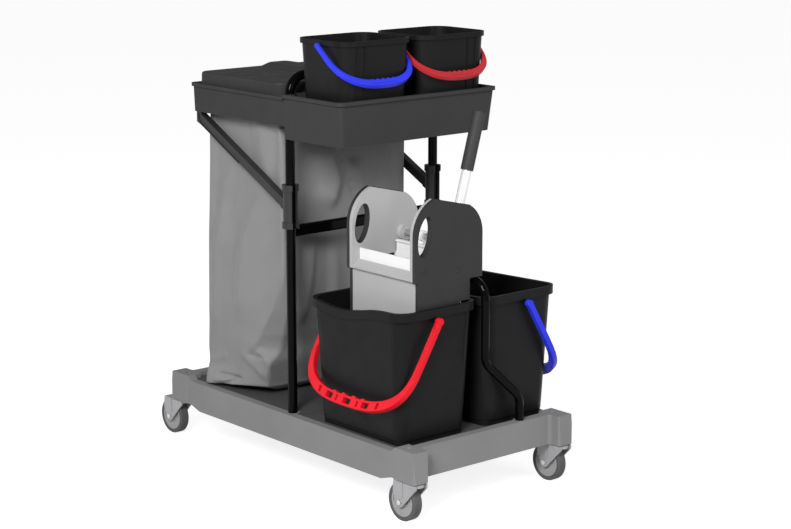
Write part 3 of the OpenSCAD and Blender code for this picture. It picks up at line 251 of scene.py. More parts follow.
@dataclass(frozen=True)
class Plastic:
    """Moulded plastic with grain, faint mottle and worn edges."""

    name: str
    colour: Colour
    rough: float
    grain: Grain = Grain.SATIN
    mottle: float = 0.06
    wear: float = 0.25
    edge: float = 0.0014
    gloss: float = 0.3
    mottle_waves: float = 5.0
    scuff_waves: float = 140.0
    sheen_waves: float = 22.0
    scuff_span: Span = (0.44, 0.66)
    worn_shade: float = 1.9
    relief: float = 0.0008

    def build(self) -> bpy.types.Material:
        """Make the material.

        Returns:
            The finished material.
        """
        bench = NodeBench(self.name)
        broad = bench.noise(self.mottle_waves, 3.0)
        base = bench.tint(bench.spread(broad, 0, 1), shade(self.colour, 1 - self.mottle),
                          shade(self.colour, 1 + self.mottle))
        normal, mask = bench.edges(self.edge)
        specks = bench.noise(self.scuff_waves, 4.0, (1.0, 1.0, 0.35))
        scuffs = bench.spread(specks, 0, self.wear, *self.scuff_span)
        worn = bench.over(bench.product(mask, scuffs), base, shade(self.colour, self.worn_shade))
        bench.join(worn, bench.shader.inputs["Base Color"])
        patches = bench.noise(self.sheen_waves, 4.0)
        rough = bench.spread(patches, self.rough - 0.06, self.rough + 0.07)
        bench.join(rough, bench.shader.inputs["Roughness"])
        grain = bench.noise(GRAIN_SCALE[self.grain], 2.0)
        bumped = bench.bump(grain, GRAIN_DEPTH[self.grain], self.relief, normal)
        bench.join(bumped, bench.shader.inputs["Normal"])
        bench.set(Specular_IOR_Level=self.gloss)
        return bench.material


@dataclass(frozen=True)
class Metal:
    """Metal drawn or turned along one axis, or coated with paint."""

    name: str
    colour: Colour
    rough: float
    metallic: float = 1.0
    stretch: Point = (1.0, 1.0, 0.03)
    scratch: float = 0.12
    gloss: float = 0.5
    line_waves: float = 900.0
    cloud_waves: float = 9.0
    edge: float = 0.0008
    relief: float = 0.0004

    def build(self) -> bpy.types.Material:
        """Make the material.

        Returns:
            The finished material.
        """
        bench = NodeBench(self.name)
        lines = bench.noise(self.line_waves, 3.0, self.stretch)
        clouds = bench.spread(bench.noise(self.cloud_waves, 3.0), 0, 1)
        base = bench.tint(clouds, shade(self.colour, 0.92), shade(self.colour, 1.07))
        bench.join(base, bench.shader.inputs["Base Color"])
        rough = bench.spread(lines, self.rough - self.scratch / 2, self.rough + self.scratch / 2)
        bench.join(rough, bench.shader.inputs["Roughness"])
        normal, _ = bench.edges(self.edge)
        bench.join(bench.bump(lines, 0.05, self.relief, normal), bench.shader.inputs["Normal"])
        bench.set(Metallic=self.metallic, Specular_IOR_Level=self.gloss)
        return bench.material


@dataclass(frozen=True)
class Cloth:
    """Coated woven cloth, its threads along the piece's own map."""

    name: str
    colour: Colour
    thread: float = 0.0016
    uv: str = "cloth_map"
    cloud_waves: float = 4.0
    sheen_waves: float = 30.0
    crease_waves: float = 26.0
    crease_depth: float = 0.006
    weave_depth: float = 0.0006

    def build(self) -> bpy.types.Material:
        """Make the material.

        Returns:
            The finished material.
        """
        bench = NodeBench(self.name)
        chart = bench.add("ShaderNodeUVMap", uv_map=self.uv)
        heights = []
        for axis in ("X", "Y"):
            wave = bench.add("ShaderNodeTexWave", wave_type="BANDS", bands_direction=axis,
                             in_Scale=0.5 / self.thread, in_Distortion=0.6, in_Detail=1.0)
            wave.inputs["Detail Scale"].default_value = 0.4
            bench.join(chart.outputs["UV"], wave.inputs["Vector"])
            heights.append(wave.outputs["Fac"])
        weave = bench.product(heights[0], heights[1])
        clouds = bench.spread(bench.noise(self.cloud_waves, 5.0), 0, 1)
        base = bench.tint(clouds, shade(self.colour, 0.92), shade(self.colour, 1.06))
        crossings = bench.spread(weave, 0.0, 0.22, 0.0, 0.7)
        flecks = bench.over(crossings, base, shade(self.colour, 1.25))
        bench.join(flecks, bench.shader.inputs["Base Color"])
        rough = bench.spread(bench.noise(self.sheen_waves, 4.0), 0.58, 0.78)
        bench.join(rough, bench.shader.inputs["Roughness"])
        crumple = bench.noise(self.crease_waves, 6.0, (1.0, 1.0, 0.5))
        creases = bench.bump(crumple, 0.22, self.crease_depth)
        woven = bench.bump(weave, 0.22, self.weave_depth, creases)
        bench.join(woven, bench.shader.inputs["Normal"])
        bench.set(Sheen_Weight=0.12, Sheen_Roughness=0.5, Specular_IOR_Level=0.35)
        return bench.material


@dataclass(frozen=True)
class Lamp:
    """A square soft lamp: its name, place, side in metres, power in watts and aim."""

    name: str
    place: Point
    size: float
    power: float
    aim: Point = (0.0, 0.0, 0.55)

    def hang(self) -> None:
        """Hang the lamp so that it faces the cart."""
        data = bpy.data.lights.new(self.name, "AREA")
        data.size = self.size
        data.energy = self.power
        lamp = bpy.data.objects.new(self.name, data)
        lamp.location = self.place
        aim = Vector(self.aim) - Vector(self.place)
        lamp.rotation_mode = "QUATERNION"
        lamp.rotation_quaternion = aim.to_track_quat("-Z", "Y")
        bpy.context.scene.collection.objects.link(lamp)


@dataclass(frozen=True)
class Studio:
    """Camera, lamps, floor and backdrop."""

    target: Point = (0.16425, -0.012, 0.5592)
    azimuth: float = 49.4384
    elevation: float = 12.0664
    distance: float = 5.3422
    focal_px: float = 2038.52
    frame_px: float = 791.0
    sensor_mm: float = 36.0
    sight: float = 60.0
    ambient: float = 0.25
    floor_reach: float = 30.0
    floor_tone: float = 0.45
    floor_glow: float = 0.84
    lamps: tuple[Lamp, ...] = (
        Lamp("key", (2.5, -3.7, 3.0), 1.5, 218.0),
        Lamp("fill", (4.2, 0.6, 2.4), 2.2, 66.0),
        Lamp("side", (-3.2, -2.6, 1.9), 2.0, 16.0),
    )

    def back(self) -> Vector:
        """Direction from the target to the camera."""
        a, e = math.radians(self.azimuth), math.radians(self.elevation)
        return Vector((math.sin(a) * math.cos(e), -math.cos(a) * math.cos(e), math.sin(e)))

    def build(self) -> None:
        """Make the camera, the lamps, the floor and the world."""
        self._camera()
        for lamp in self.lamps:
            lamp.hang()
        self._floor()
        self._world()
        bpy.context.scene.view_settings.view_transform = "Standard"

    def _camera(self) -> None:
        """Stand the camera at the photograph's place."""
        data = bpy.data.cameras.new("camera")
        data.sensor_width = self.sensor_mm
        data.lens = self.focal_px * self.sensor_mm / self.frame_px
        data.clip_end = self.sight
        camera = bpy.data.objects.new("camera", data)
        camera.location = Vector(self.target) + self.back() * self.distance
        camera.rotation_mode = "QUATERNION"
        camera.rotation_quaternion = (-self.back()).to_track_quat("-Z", "Y")
        bpy.context.scene.collection.objects.link(camera)
        bpy.context.scene.camera = camera

    def _floor(self) -> None:
        """Lay a pale floor that shows white but keeps the cart's shadow."""
        mesh = bpy.data.meshes.new("floor")
        r = self.floor_reach
        mesh.from_pydata([(-r, -r, 0), (r, -r, 0), (r, r, 0), (-r, r, 0)], [], [(0, 1, 2, 3)])
        floor = bpy.data.objects.new("floor", mesh)
        bpy.context.scene.collection.objects.link(floor)
        bench = NodeBench("pale_floor")
        tone = self.floor_tone
        bench.set(Base_Color=(tone, tone, tone, 1), Roughness=0.9, Specular_IOR_Level=0.1)
        glow = bench.add("ShaderNodeEmission", in_Color=(1, 1, 1, 1), in_Strength=self.floor_glow)
        both = bench.add("ShaderNodeAddShader")
        bench.join(bench.shader.outputs["BSDF"], both.inputs[0])
        bench.join(glow.outputs["Emission"], both.inputs[1])
        pick = bench.add("ShaderNodeMixShader")
        bench.join(self._seen(bench), pick.inputs[0])
        bench.join(bench.shader.outputs["BSDF"], pick.inputs[1])
        bench.join(both.outputs["Shader"], pick.inputs[2])
        bench.join(pick.outputs["Shader"], bench.tree.nodes["Material Output"].inputs["Surface"])
        mesh.materials.append(bench.material)

    @staticmethod
    def _seen(bench: NodeBench) -> Socket:
        """Value that is 1 for rays from the eye, a gloss or a clear piece.

        Args:
            bench: The material under construction.

        Returns:
            The value's socket.
        """
        path = bench.add("ShaderNodeLightPath")
        total = path.outputs["Is Camera Ray"]
        for name in ("Is Glossy Ray", "Is Transmission Ray"):
            most = bench.add("ShaderNodeMath", operation="MAXIMUM")
            bench.join(total, most.inputs[0])
            bench.join(path.outputs[name], most.inputs[1])
            total = most.outputs["Value"]
        return total

    def _world(self) -> None:
        """Set a white backdrop and a plain soft light from all round."""
        world = bpy.data.worlds.new("studio")
        world.use_nodes = True
        bpy.context.scene.world = world
        tree = world.node_tree
        tree.nodes.clear()
        path = tree.nodes.new("ShaderNodeLightPath")
        soft = tree.nodes.new("ShaderNodeBackground")
        soft.inputs["Color"].default_value = (1, 1, 1, 1)
        soft.inputs["Strength"].default_value = self.ambient
        white = tree.nodes.new("ShaderNodeBackground")
        white.inputs["Color"].default_value = (1, 1, 1, 1)
        white.inputs["Strength"].default_value = 1.0
        pick = tree.nodes.new("ShaderNodeMixShader")
        out = tree.nodes.new("ShaderNodeOutputWorld")
        tree.links.new(path.outputs["Is Camera Ray"], pick.inputs[0])
        tree.links.new(soft.outputs["Background"], pick.inputs[1])
        tree.links.new(white.outputs["Background"], pick.inputs[2])
        tree.links.new(pick.outputs["Shader"], out.inputs["Surface"])


FINISHES: dict[str, Plastic | Metal | Cloth] = {
    "base_grey": Plastic("base_grey_plastic", (0.228, 0.228, 0.232), 0.55, Grain.SATIN, 0.05, 0.3),
    # Darker copy of the base's grey for the deck panel: painted shade where the bag and buckets
    # shade the deck.
    "deck_painted_shade": Plastic("deck_painted_shade_plastic", (0.075, 0.075, 0.077), 0.6, Grain.SATIN, 0.07, 0.3,
                         gloss=0.2),
    "top_dark": Plastic("top_dark_plastic", (0.039, 0.039, 0.040), 0.52, Grain.PEBBLE, 0.06, 0.3,
                        gloss=0.12),
    "bucket_black": Plastic("bucket_black_plastic", (0.0085, 0.0085, 0.009), 0.42, Grain.SATIN,
                            0.08, 0.35, gloss=0.1),
    "bracket_dark": Plastic("bracket_dark_plastic", (0.026, 0.026, 0.027), 0.46, Grain.SATIN,
                            0.06, 0.3),
    "tube_black": Metal("tube_black_coat", (0.002, 0.002, 0.0023), 0.10, 0.0, (1.0, 1.0, 0.4),
                        0.04, gloss=0.06),
    "bag_cloth": Cloth("bag_woven_cloth", (0.245, 0.245, 0.25)),
    "bail_red": Plastic("bail_red_plastic", (0.82, 0.012, 0.024), 0.36, Grain.SMOOTH, 0.05, 0.06,
                        edge=0.0045, gloss=0.12),
    # Darker, duller copy of the bail red for the far small bail: painted shade over the same red
    # plastic.
    "bail_red_painted_shade": Plastic("bail_red_painted_shade_plastic", (0.51, 0.031, 0.037), 0.38, Grain.SMOOTH,
                             0.05, 0.06, edge=0.0035, gloss=0.15),
    "bail_blue": Plastic("bail_blue_plastic", (0.034, 0.046, 0.78), 0.32, Grain.SMOOTH, 0.05, 0.06,
                         edge=0.004, gloss=0.12),
    "wringer_grey": Plastic("wringer_grey_plastic", (0.445, 0.445, 0.45), 0.45, Grain.SATIN,
                            0.03, 0.15),
    "cover_dark": Plastic("cover_dark_plastic", (0.028, 0.028, 0.029), 0.48, Grain.PEBBLE,
                          0.05, 0.3, gloss=0.2),
    "jaw_white": Plastic("jaw_white_plastic", (0.88, 0.88, 0.88), 0.4, Grain.SMOOTH, 0.02, 0.05),
    "pole_bright": Metal("pole_bright_metal", (0.86, 0.86, 0.87), 0.34, 0.35),
    "grip_dark": Plastic("grip_dark_rubber", (0.036, 0.036, 0.038), 0.62, Grain.PEBBLE, 0.06, 0.2),
    "bare_steel": Metal("zinc_steel", (0.62, 0.62, 0.63), 0.34, 1.0, (1.0, 1.0, 1.0)),
    "caster_grey": Metal("caster_grey_coat", (0.38, 0.38, 0.39), 0.42, 0.25, (1.0, 1.0, 1.0)),
    "hub_pale": Plastic("hub_pale_plastic", (0.36, 0.36, 0.36), 0.5, Grain.SATIN, 0.04, 0.2),
    "tyre_grey": Plastic("tyre_grey_rubber", (0.098, 0.098, 0.100), 0.68, Grain.PEBBLE, 0.07, 0.3),
}


@dataclass
class Paintbox:
    """The finishes, each made once."""

    made: dict[str, bpy.types.Material] = field(default_factory=dict)

    def get(self, slot: str) -> bpy.types.Material:
        """Give the material of a slot.

        Args:
            slot: The record's slot name.

        Returns:
            The material, made on first use.
        """
        if slot not in self.made:
            self.made[slot] = FINISHES[slot].build()
        return self.made[slot]

    def dress(self, piece: bpy.types.Object, slot: str) -> None:
        """Give a piece one finish.

        Args:
            piece: The object to dress.
            slot: The record's slot name.
        """
        piece.data.materials.clear()
        piece.data.materials.append(self.get(slot))


def new_piece(name: str, mesh: bpy.types.Mesh) -> bpy.types.Object:
    """Link a new object that holds a mesh at the origin.

    Args:
        name: The piece's name.
        mesh: Its mesh, in the cart's frame.

    Returns:
        The new object.
    """
    piece = bpy.data.objects.new(name, mesh)
    bpy.context.scene.collection.objects.link(piece)
    return piece


@dataclass
class CartBody:
    """The rigid pieces that keep the shape of their solids."""

    paint: Paintbox
    # Nodes dressed in darker copies of their slot's finish, which paint shade: the deck panel and
    # the far small bail.
    own: dict[str, str] = field(default_factory=lambda: {
        "deck_panel": "deck_painted_shade", "small_bail_left": "bail_red_painted_shade"})

    def build(self) -> None:
        """Dress every solid with the finish of its slot, or with a darker copy listed in own that
        paints shade.
        """
        for part in frame["record"]["subparts"]:
            node = frame["nodes"][part["node"]]
            self.paint.dress(node, self.own.get(part["node"], part["material_slot"]))
            log.info("dressed %s", part["node"])


def smooth(value: np.ndarray, start: float, end: float) -> np.ndarray:
    """Smooth step from 0 at the start to 1 at the end."""
    s = np.clip((value - start) / (end - start), 0.0, 1.0)
    return s * s * (3.0 - 2.0 * s)


@dataclass(frozen=True)
class Crease:
    """A fold on the bag's skin along a path of points, in metres along the face and up.

    A positive height is a ridge and a negative one a tuck. The reaches say how far its two flanks
    run out, to the left and to the right of a path that is followed upwards.
    """

    path: tuple[tuple[float, float], ...]
    height: float
    left: float
    right: float

    def lift(self, along: np.ndarray, up: np.ndarray) -> np.ndarray:
        """Height of the fold at points of the skin.

        Args:
            along: Place of each point along the face.
            up: Height of each point over the floor.

        Returns:
            The outward lift in metres.
        """
        near = np.full(along.shape, np.inf)
        offset, travel, done = np.zeros_like(along), np.zeros_like(along), 0.0
        for (ax, az), (bx, bz) in zip(self.path, self.path[1:]):
            rx, rz = bx - ax, bz - az
            length = math.hypot(rx, rz)
            t = np.clip(((along - ax) * rx + (up - az) * rz) / length ** 2, 0.0, 1.0)
            gap = np.hypot(along - ax - t * rx, up - az - t * rz)
            side = np.sign((along - ax) * rz - (up - az) * rx)
            closer = gap < near
            near = np.where(closer, gap, near)
            offset = np.where(closer, side * gap, offset)
            travel = np.where(closer, done + t * length, travel)
            done += length
        ends = (smooth(travel, 0.0, FOLD_FADE * done)
                * (1.0 - smooth(travel, (1.0 - FOLD_FADE) * done, done)))
        reach = np.where(offset > 0.0, self.right, self.left)
        flank = np.clip(1.0 - np.abs(offset) / reach, 0.0, 1.0)
        rounded = flank * flank * (3.0 - 2.0 * flank)
        return self.height * ends * (FOLD_STRAIGHT * flank + (1.0 - FOLD_STRAIGHT) * rounded)


@dataclass(frozen=True)
class Ripple:
    """Slow waves all over the cloth: height, waves to the metre along each axis, shift along X."""

    height: float
    waves: Point
    shift: float = 0.0

    def lift(self, x: float, y: float, z: float) -> float:
        """Height of the waves at a point."""
        kx, ky, kz = self.waves
        return self.height * noise.noise(Vector((x * kx + self.shift, y * ky, z * kz)))


@dataclass(frozen=True)
class BagRing:
    """One level of the bag: its height and its four corners.

    The corners run from the right rear round by the right front. The rounds are the corners'
    reaches, and flat says how far the right front one is cut straight across.
    """

    z: float
    corners: tuple[tuple[float, float], ...]
    rounds: tuple[float, float, float, float]
    flat: float = 0.0


@dataclass
class RefuseBag:
    """The cloth bag: a lofted sagging sack with folds, a gathered foot and a hem over a ledge.

    Attributes:
        paint: The finishes.
        side_steps: Points along each side of a level.
        corner_steps: Points round each corner.
        rows: Levels of the skin, crowded towards the foot by the power row_crowd.
        cloth_t: Thickness of the cloth.
        hem_w: Width of the hem, whose levels are hem_levels.
        girth: Metres round the bag, for the weave's map.
        facing: Where a face's normal starts and ends counting as that face's own.
        far_share: Height of the folds on the far sides, mirrored about half of far_mirror.
        sag: Depth of the sag in the upper sides, between sag_rear and sag_front and above sag_z.
        ripples: Slow waves all over.
        calm_top: Heights over which folds fade out to the hem; calm_foot does so at the foot.
        room: Half width beside the brackets, and room_below more under bracket_z.
        lowest: Lowest point of the skin.
        foot_z: Level of the foot, drawn in by foot_shares and flat inside foot_turn.
        rings: Key levels, from the hem down.
        foot: Height of the foot's edge at the four corners.
        creases: Folds on the right side; front_creases are those on the front.
    """

    paint: Paintbox
    side_steps: int = 44
    corner_steps: int = 9
    rows: int = 150
    row_crowd: float = 0.92
    cloth_t: float = 0.0016
    hem_w: float = 0.006
    hem_levels: tuple[float, float, float] = (0.9894, 0.9921, 0.9923)
    girth: float = 1.5
    facing: Span = (0.5, 0.95)
    far_share: float = 0.8
    far_mirror: float = -0.48
    sag: float = 0.012
    sag_rear: Span = (-0.385, -0.345)
    sag_front: Span = (-0.095, -0.060)
    sag_z: Span = (0.56, 0.70)
    ripples: tuple[Ripple, ...] = (
        Ripple(0.0035, (5.0, 5.0, 2.4)),
        Ripple(0.0012, (17.0, 17.0, 9.0), 3.0),
    )
    calm_top: Span = (0.90, 0.975)
    calm_foot: Span = (0.176, 0.196)
    room: float = 0.2325
    room_below: float = 0.054
    bracket_z: Span = (0.60, 0.69)
    lowest: float = 0.1785
    foot_z: float = 0.1790
    foot_shares: tuple[float, ...] = (0.97, 0.88, 0.7, 0.45, 0.2, 0.02)
    foot_turn: float = 0.72
    rings: tuple[BagRing, ...] = (
        BagRing(0.9893, ((-0.3815, -0.2295), (-0.0925, -0.2295), (-0.0925, 0.2295),
                         (-0.3815, 0.2295)), (0.03,) * 4),
        BagRing(0.935, ((-0.383, -0.2300), (-0.072, -0.2295), (-0.091, 0.2295), (-0.383, 0.2300)),
                (0.028, 0.018, 0.026, 0.028)),
        BagRing(0.870, ((-0.386, -0.2305), (-0.052, -0.2300), (-0.090, 0.2295), (-0.386, 0.2305)),
                (0.026, 0.012, 0.024, 0.026)),
        BagRing(0.700, ((-0.390, -0.2315), (-0.050, -0.2310), (-0.089, 0.2300), (-0.390, 0.2315)),
                (0.024, 0.012, 0.026, 0.024)),
        BagRing(0.530, ((-0.393, -0.2350), (-0.050, -0.2330), (-0.088, 0.2330), (-0.393, 0.2350)),
                (0.024, 0.012, 0.036, 0.024)),
        BagRing(0.430, ((-0.393, -0.2360), (-0.068, -0.2345), (-0.094, 0.2310), (-0.393, 0.2360)),
                (0.024, 0.030, 0.040, 0.026), 1.0),
        BagRing(0.355, ((-0.391, -0.2380), (-0.102, -0.2370), (-0.106, 0.2280), (-0.390, 0.2350)),
                (0.024, 0.044, 0.040, 0.028), 1.0),
        BagRing(0.312, ((-0.391, -0.2410), (-0.122, -0.2380), (-0.114, 0.2260), (-0.388, 0.2340)),
                (0.024, 0.048, 0.036, 0.030), 1.0),
        BagRing(0.280, ((-0.391, -0.2440), (-0.126, -0.2260), (-0.122, 0.2220), (-0.386, 0.2320)),
                (0.026, 0.014, 0.034, 0.030)),
        BagRing(0.240, ((-0.388, -0.2480), (-0.144, -0.2140), (-0.130, 0.2180), (-0.384, 0.2300)),
                (0.030, 0.008, 0.030, 0.030)),
        BagRing(0.196, ((-0.384, -0.2660), (-0.163, -0.2050), (-0.142, 0.2120), (-0.374, 0.2240)),
                (0.034, 0.006, 0.024, 0.030)),
    )
    foot: tuple[float, float, float, float] = (0.181, 0.203, 0.188, 0.182)
    creases: tuple[Crease, ...] = (
        Crease(((-0.342, 0.290), (-0.336, 0.450), (-0.333, 0.543), (-0.305, 0.726),
                (-0.268, 0.830)), 0.0150, 0.050, 0.020),
        Crease(((-0.236, 0.360), (-0.223, 0.552), (-0.208, 0.631), (-0.160, 0.745)),
               0.0150, 0.040, 0.100),
        Crease(((-0.086, 0.760), (-0.124, 0.809), (-0.140, 0.854), (-0.154, 0.960)),
               0.0130, 0.060, 0.060),
        Crease(((-0.292, 0.400), (-0.268, 0.680)), -0.0050, 0.026, 0.026),
        Crease(((-0.204, 0.280), (-0.150, 0.330)), -0.0060, 0.011, 0.011),
        Crease(((-0.206, 0.283), (-0.120, 0.296)), -0.0065, 0.010, 0.009),
        Crease(((-0.146, 0.224), (-0.190, 0.263), (-0.245, 0.300)), 0.0075, 0.020, 0.030),
        Crease(((-0.335, 0.212), (-0.240, 0.212)), -0.0100, 0.009, 0.009),
        Crease(((-0.374, 0.168), (-0.236, 0.214)), -0.0110, 0.008, 0.008),
        Crease(((-0.350, 0.196), (-0.280, 0.202)), 0.0060, 0.012, 0.012),
        Crease(((-0.375, 0.240), (-0.290, 0.275)), 0.0045, 0.020, 0.020),
    )
    front_creases: tuple[Crease, ...] = (
        Crease(((0.034, 0.700), (-0.034, 0.855)), -0.0070, 0.006, 0.006),
        Crease(((0.070, 0.670), (0.018, 0.810)), 0.0140, 0.026, 0.060),
        Crease(((-0.072, 0.680), (-0.042, 0.760), (-0.084, 0.875)), 0.0160, 0.075, 0.030),
        Crease(((0.004, 0.838), (0.036, 0.806)), -0.0130, 0.022, 0.022),
        Crease(((-0.150, 0.360), (-0.128, 0.640)), 0.0080, 0.045, 0.022),
        Crease(((-0.020, 0.330), (-0.060, 0.620)), 0.0080, 0.030, 0.050),
        Crease(((0.130, 0.380), (0.150, 0.900)), 0.0080, 0.060, 0.024),
    )

    def build(self) -> None:
        """Make the sack, its hem and the stitches, and put them in the plain sack's place."""
        outer = self._skin()
        sack = self._close(outer)
        self.paint.dress(sack, "bag_cloth")
        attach(sack, "cart")
        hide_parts("refuse_bag")
        log.info("made %s with %d faces", sack.name, len(sack.data.polygons))
        HemStitches(self.paint).build(self._hem_line())

    def _ring(self, ring: BagRing) -> np.ndarray:
        """Points round one level, the same number on each side and corner.

        Args:
            ring: The level.

        Returns:
            One row to a point, x and y in the base's frame.
        """
        corners = [np.array(c) for c in ring.corners]
        points: list[np.ndarray] = []
        for k in range(4):
            here, after, before = corners[k], corners[(k + 1) % 4], corners[k - 1]
            into = here + (before - here) / np.linalg.norm(before - here) * ring.rounds[k]
            out = here + (after - here) / np.linalg.norm(after - here) * ring.rounds[k]
            pull = here + ((into + out) / 2 - here) * (ring.flat if k == 1 else 0.0)
            for i in range(self.corner_steps):
                s = i / self.corner_steps
                points.append((1 - s) ** 2 * into + 2 * s * (1 - s) * pull + s * s * out)
            last = after + (here - after) / np.linalg.norm(here - after) * ring.rounds[(k + 1) % 4]
            for i in range(self.side_steps):
                points.append(out + (last - out) * i / self.side_steps)
        return np.array(points)

    def _skin(self) -> np.ndarray:
        """The sack's outer skin from the hem down to the edge of its foot.

        Returns:
            Rows by columns by x, y, z, in the base's frame.
        """
        keys = np.array([self._ring(r) for r in self.rings])
        heights = np.array([r.z for r in self.rings])
        columns = keys.shape[1]
        foot = np.array(self._foot_edge(columns))
        share = np.linspace(0.0, 1.0, self.rows) ** self.row_crowd
        skin = np.zeros((self.rows, columns, 3))
        for i, s in enumerate(share):
            z = heights[0] + (foot - heights[0]) * s
            level = np.interp(heights[0] - z, heights[0] - heights, np.arange(len(heights)))
            skin[i, :, :2] = self._between(keys, level)
            skin[i, :, 2] = z
        self._fold(skin)
        return skin

    @staticmethod
    def _between(keys: np.ndarray, level: np.ndarray) -> np.ndarray:
        """Points between the key levels on smooth curves.

        Args:
            keys: Key levels by columns by x, y.
            level: Fractional key level of each column.

        Returns:
            Columns by x, y.
        """
        top = keys.shape[0] - 1
        k = np.clip(level.astype(int), 0, top - 1)
        t = (level - k)[:, None]
        col = np.arange(keys.shape[1])
        p0, p1 = keys[np.maximum(k - 1, 0), col], keys[k, col]
        p2, p3 = keys[k + 1, col], keys[np.minimum(k + 2, top), col]
        return 0.5 * (2 * p1 + (p2 - p0) * t + (2 * p0 - 5 * p1 + 4 * p2 - p3) * t ** 2
                      + (3 * p1 - p0 - 3 * p2 + p3) * t ** 3)

    def _foot_edge(self, columns: int) -> list[float]:
        """Height of the foot's edge at each column, from corner to corner.

        Args:
            columns: Points round the bag.

        Returns:
            One height to a column.
        """
        step = columns // 4
        edge: list[float] = []
        for k in range(4):
            for i in range(step):
                s = max(0.0, (i - self.corner_steps / 2) / (step - self.corner_steps / 2))
                edge.append(self.foot[k] + (self.foot[(k + 1) % 4] - self.foot[k]) * s)
        return edge

    def _fold(self, skin: np.ndarray) -> None:
        """Push folds and creases into the skin, and keep it clear of what stands beside it.

        Args:
            skin: The skin, changed in place.
        """
        around = np.roll(skin, -1, axis=1) - np.roll(skin, 1, axis=1)
        normal = np.stack([around[..., 1], -around[..., 0]], -1)
        normal /= np.linalg.norm(normal, axis=-1, keepdims=True)
        x, y, z = skin[..., 0], skin[..., 1], skin[..., 2]
        right, left = smooth(-normal[..., 1], *self.facing), smooth(normal[..., 1], *self.facing)
        front, rear = smooth(normal[..., 0], *self.facing), smooth(-normal[..., 0], *self.facing)
        lift = np.zeros_like(x)
        for crease in self.creases:
            far = crease.lift(self.far_mirror - x, z)
            lift += right * crease.lift(x, z) + self.far_share * left * far
        for crease in self.front_creases:
            lift += front * crease.lift(y, z) + self.far_share * rear * crease.lift(-y, z)
        inset = (smooth(x, *self.sag_rear) * (1.0 - smooth(x, *self.sag_front))
                 * smooth(z, *self.sag_z))
        lift -= self.sag * inset * (right + left)
        for index in np.ndindex(x.shape):
            lift[index] += sum(r.lift(x[index], y[index], z[index]) for r in self.ripples)
        lift *= (1.0 - smooth(z, *self.calm_top)) * smooth(z, *self.calm_foot)
        skin[..., :2] += normal * lift[..., None]
        room = self.room + self.room_below * (1.0 - smooth(z, *self.bracket_z))
        skin[..., 1] = np.clip(skin[..., 1], -room, room)
        skin[..., 2] = np.maximum(skin[..., 2], self.lowest)

    def _close(self, outer: np.ndarray) -> bpy.types.Object:
        """Give the skin its thickness, foot and hem, and make the piece.

        Args:
            outer: The outer skin.

        Returns:
            The sack's object.
        """
        centre = outer[-1].mean(axis=0)
        rows = list(outer)
        for s in self.foot_shares:
            ring = centre + (outer[-1] - centre) * s
            turned = max(0.0, s - self.foot_turn) / (1.0 - self.foot_turn)
            ring[:, 2] = self.foot_z + (outer[-1][:, 2] - self.foot_z) * turned
            rows.append(ring)
        inside = []
        for row in rows:
            inner = row.copy()
            middle = row.mean(axis=0)
            inward = middle[:2] - row[:, :2]
            reach = np.linalg.norm(inward, axis=1, keepdims=True)
            inner[:, :2] += inward / np.maximum(reach, 1e-6) * np.minimum(self.cloth_t, reach * 0.5)
            inner[:, 2] += self.cloth_t * 0.5
            inside.append(inner)
        top = rows[0]
        middle = top.mean(axis=0)
        away = (top[:, :2] - middle[:2]) / np.abs(top[:, :2] - middle[:2]).max(axis=0)
        lip = []
        for out, z in zip((self.hem_w, self.hem_w, 0.0), self.hem_levels):
            ring = top.copy()
            ring[:, :2] += away * out
            ring[:, 2] = z
            lip.append(ring)
        return self._mesh(list(reversed(inside)) + [lip[2], lip[1], lip[0]] + rows)

    def _mesh(self, rows: list[np.ndarray]) -> bpy.types.Object:
        """Join rows of points into one closed mesh with a map for the weave.

        Args:
            rows: Rows with the same number of points each.

        Returns:
            The new object.
        """
        columns = len(rows[0])
        points = np.concatenate(rows) + np.array([CART_X, CART_Y, 0.0])
        faces = []
        for i in range(len(rows) - 1):
            for k in range(columns):
                a, b = i * columns + k, i * columns + (k + 1) % columns
                faces.append((a, b, b + columns, a + columns))
        faces.append(tuple(range(columns)))
        faces.append(tuple(range((len(rows) - 1) * columns, len(rows) * columns)))
        mesh = bpy.data.meshes.new("refuse_bag_cloth")
        mesh.from_pydata(points.tolist(), [], faces)
        chart = mesh.uv_layers.new(name="cloth_map")
        pitch = self.girth / columns
        for face in mesh.polygons:
            for loop in face.loop_indices:
                vertex = mesh.loops[loop].vertex_index
                chart.data[loop].uv = (pitch * (vertex % columns), float(points[vertex][2]))
        mesh.polygons.foreach_set("use_smooth", [True] * len(mesh.polygons))
        work = bmesh.new()
        work.from_mesh(mesh)
        bmesh.ops.recalc_face_normals(work, faces=work.faces)
        work.to_mesh(mesh)
        work.free()
        return new_piece("refuse_bag_cloth", mesh)

    def _hem_line(self) -> np.ndarray:
        """Line along the middle of the hem's top.

        Returns:
            One row to a point, x, y and z in the cart's frame.
        """
        line = self._ring(self.rings[0])
        middle = line.mean(axis=0)
        away = (line - middle) / np.abs(line - middle).max(axis=0)
        line = line + away * self.hem_w * 0.5
        top = np.full(len(line), self.hem_levels[2])
        return np.column_stack([line[:, 0] + CART_X, line[:, 1] + CART_Y, top])


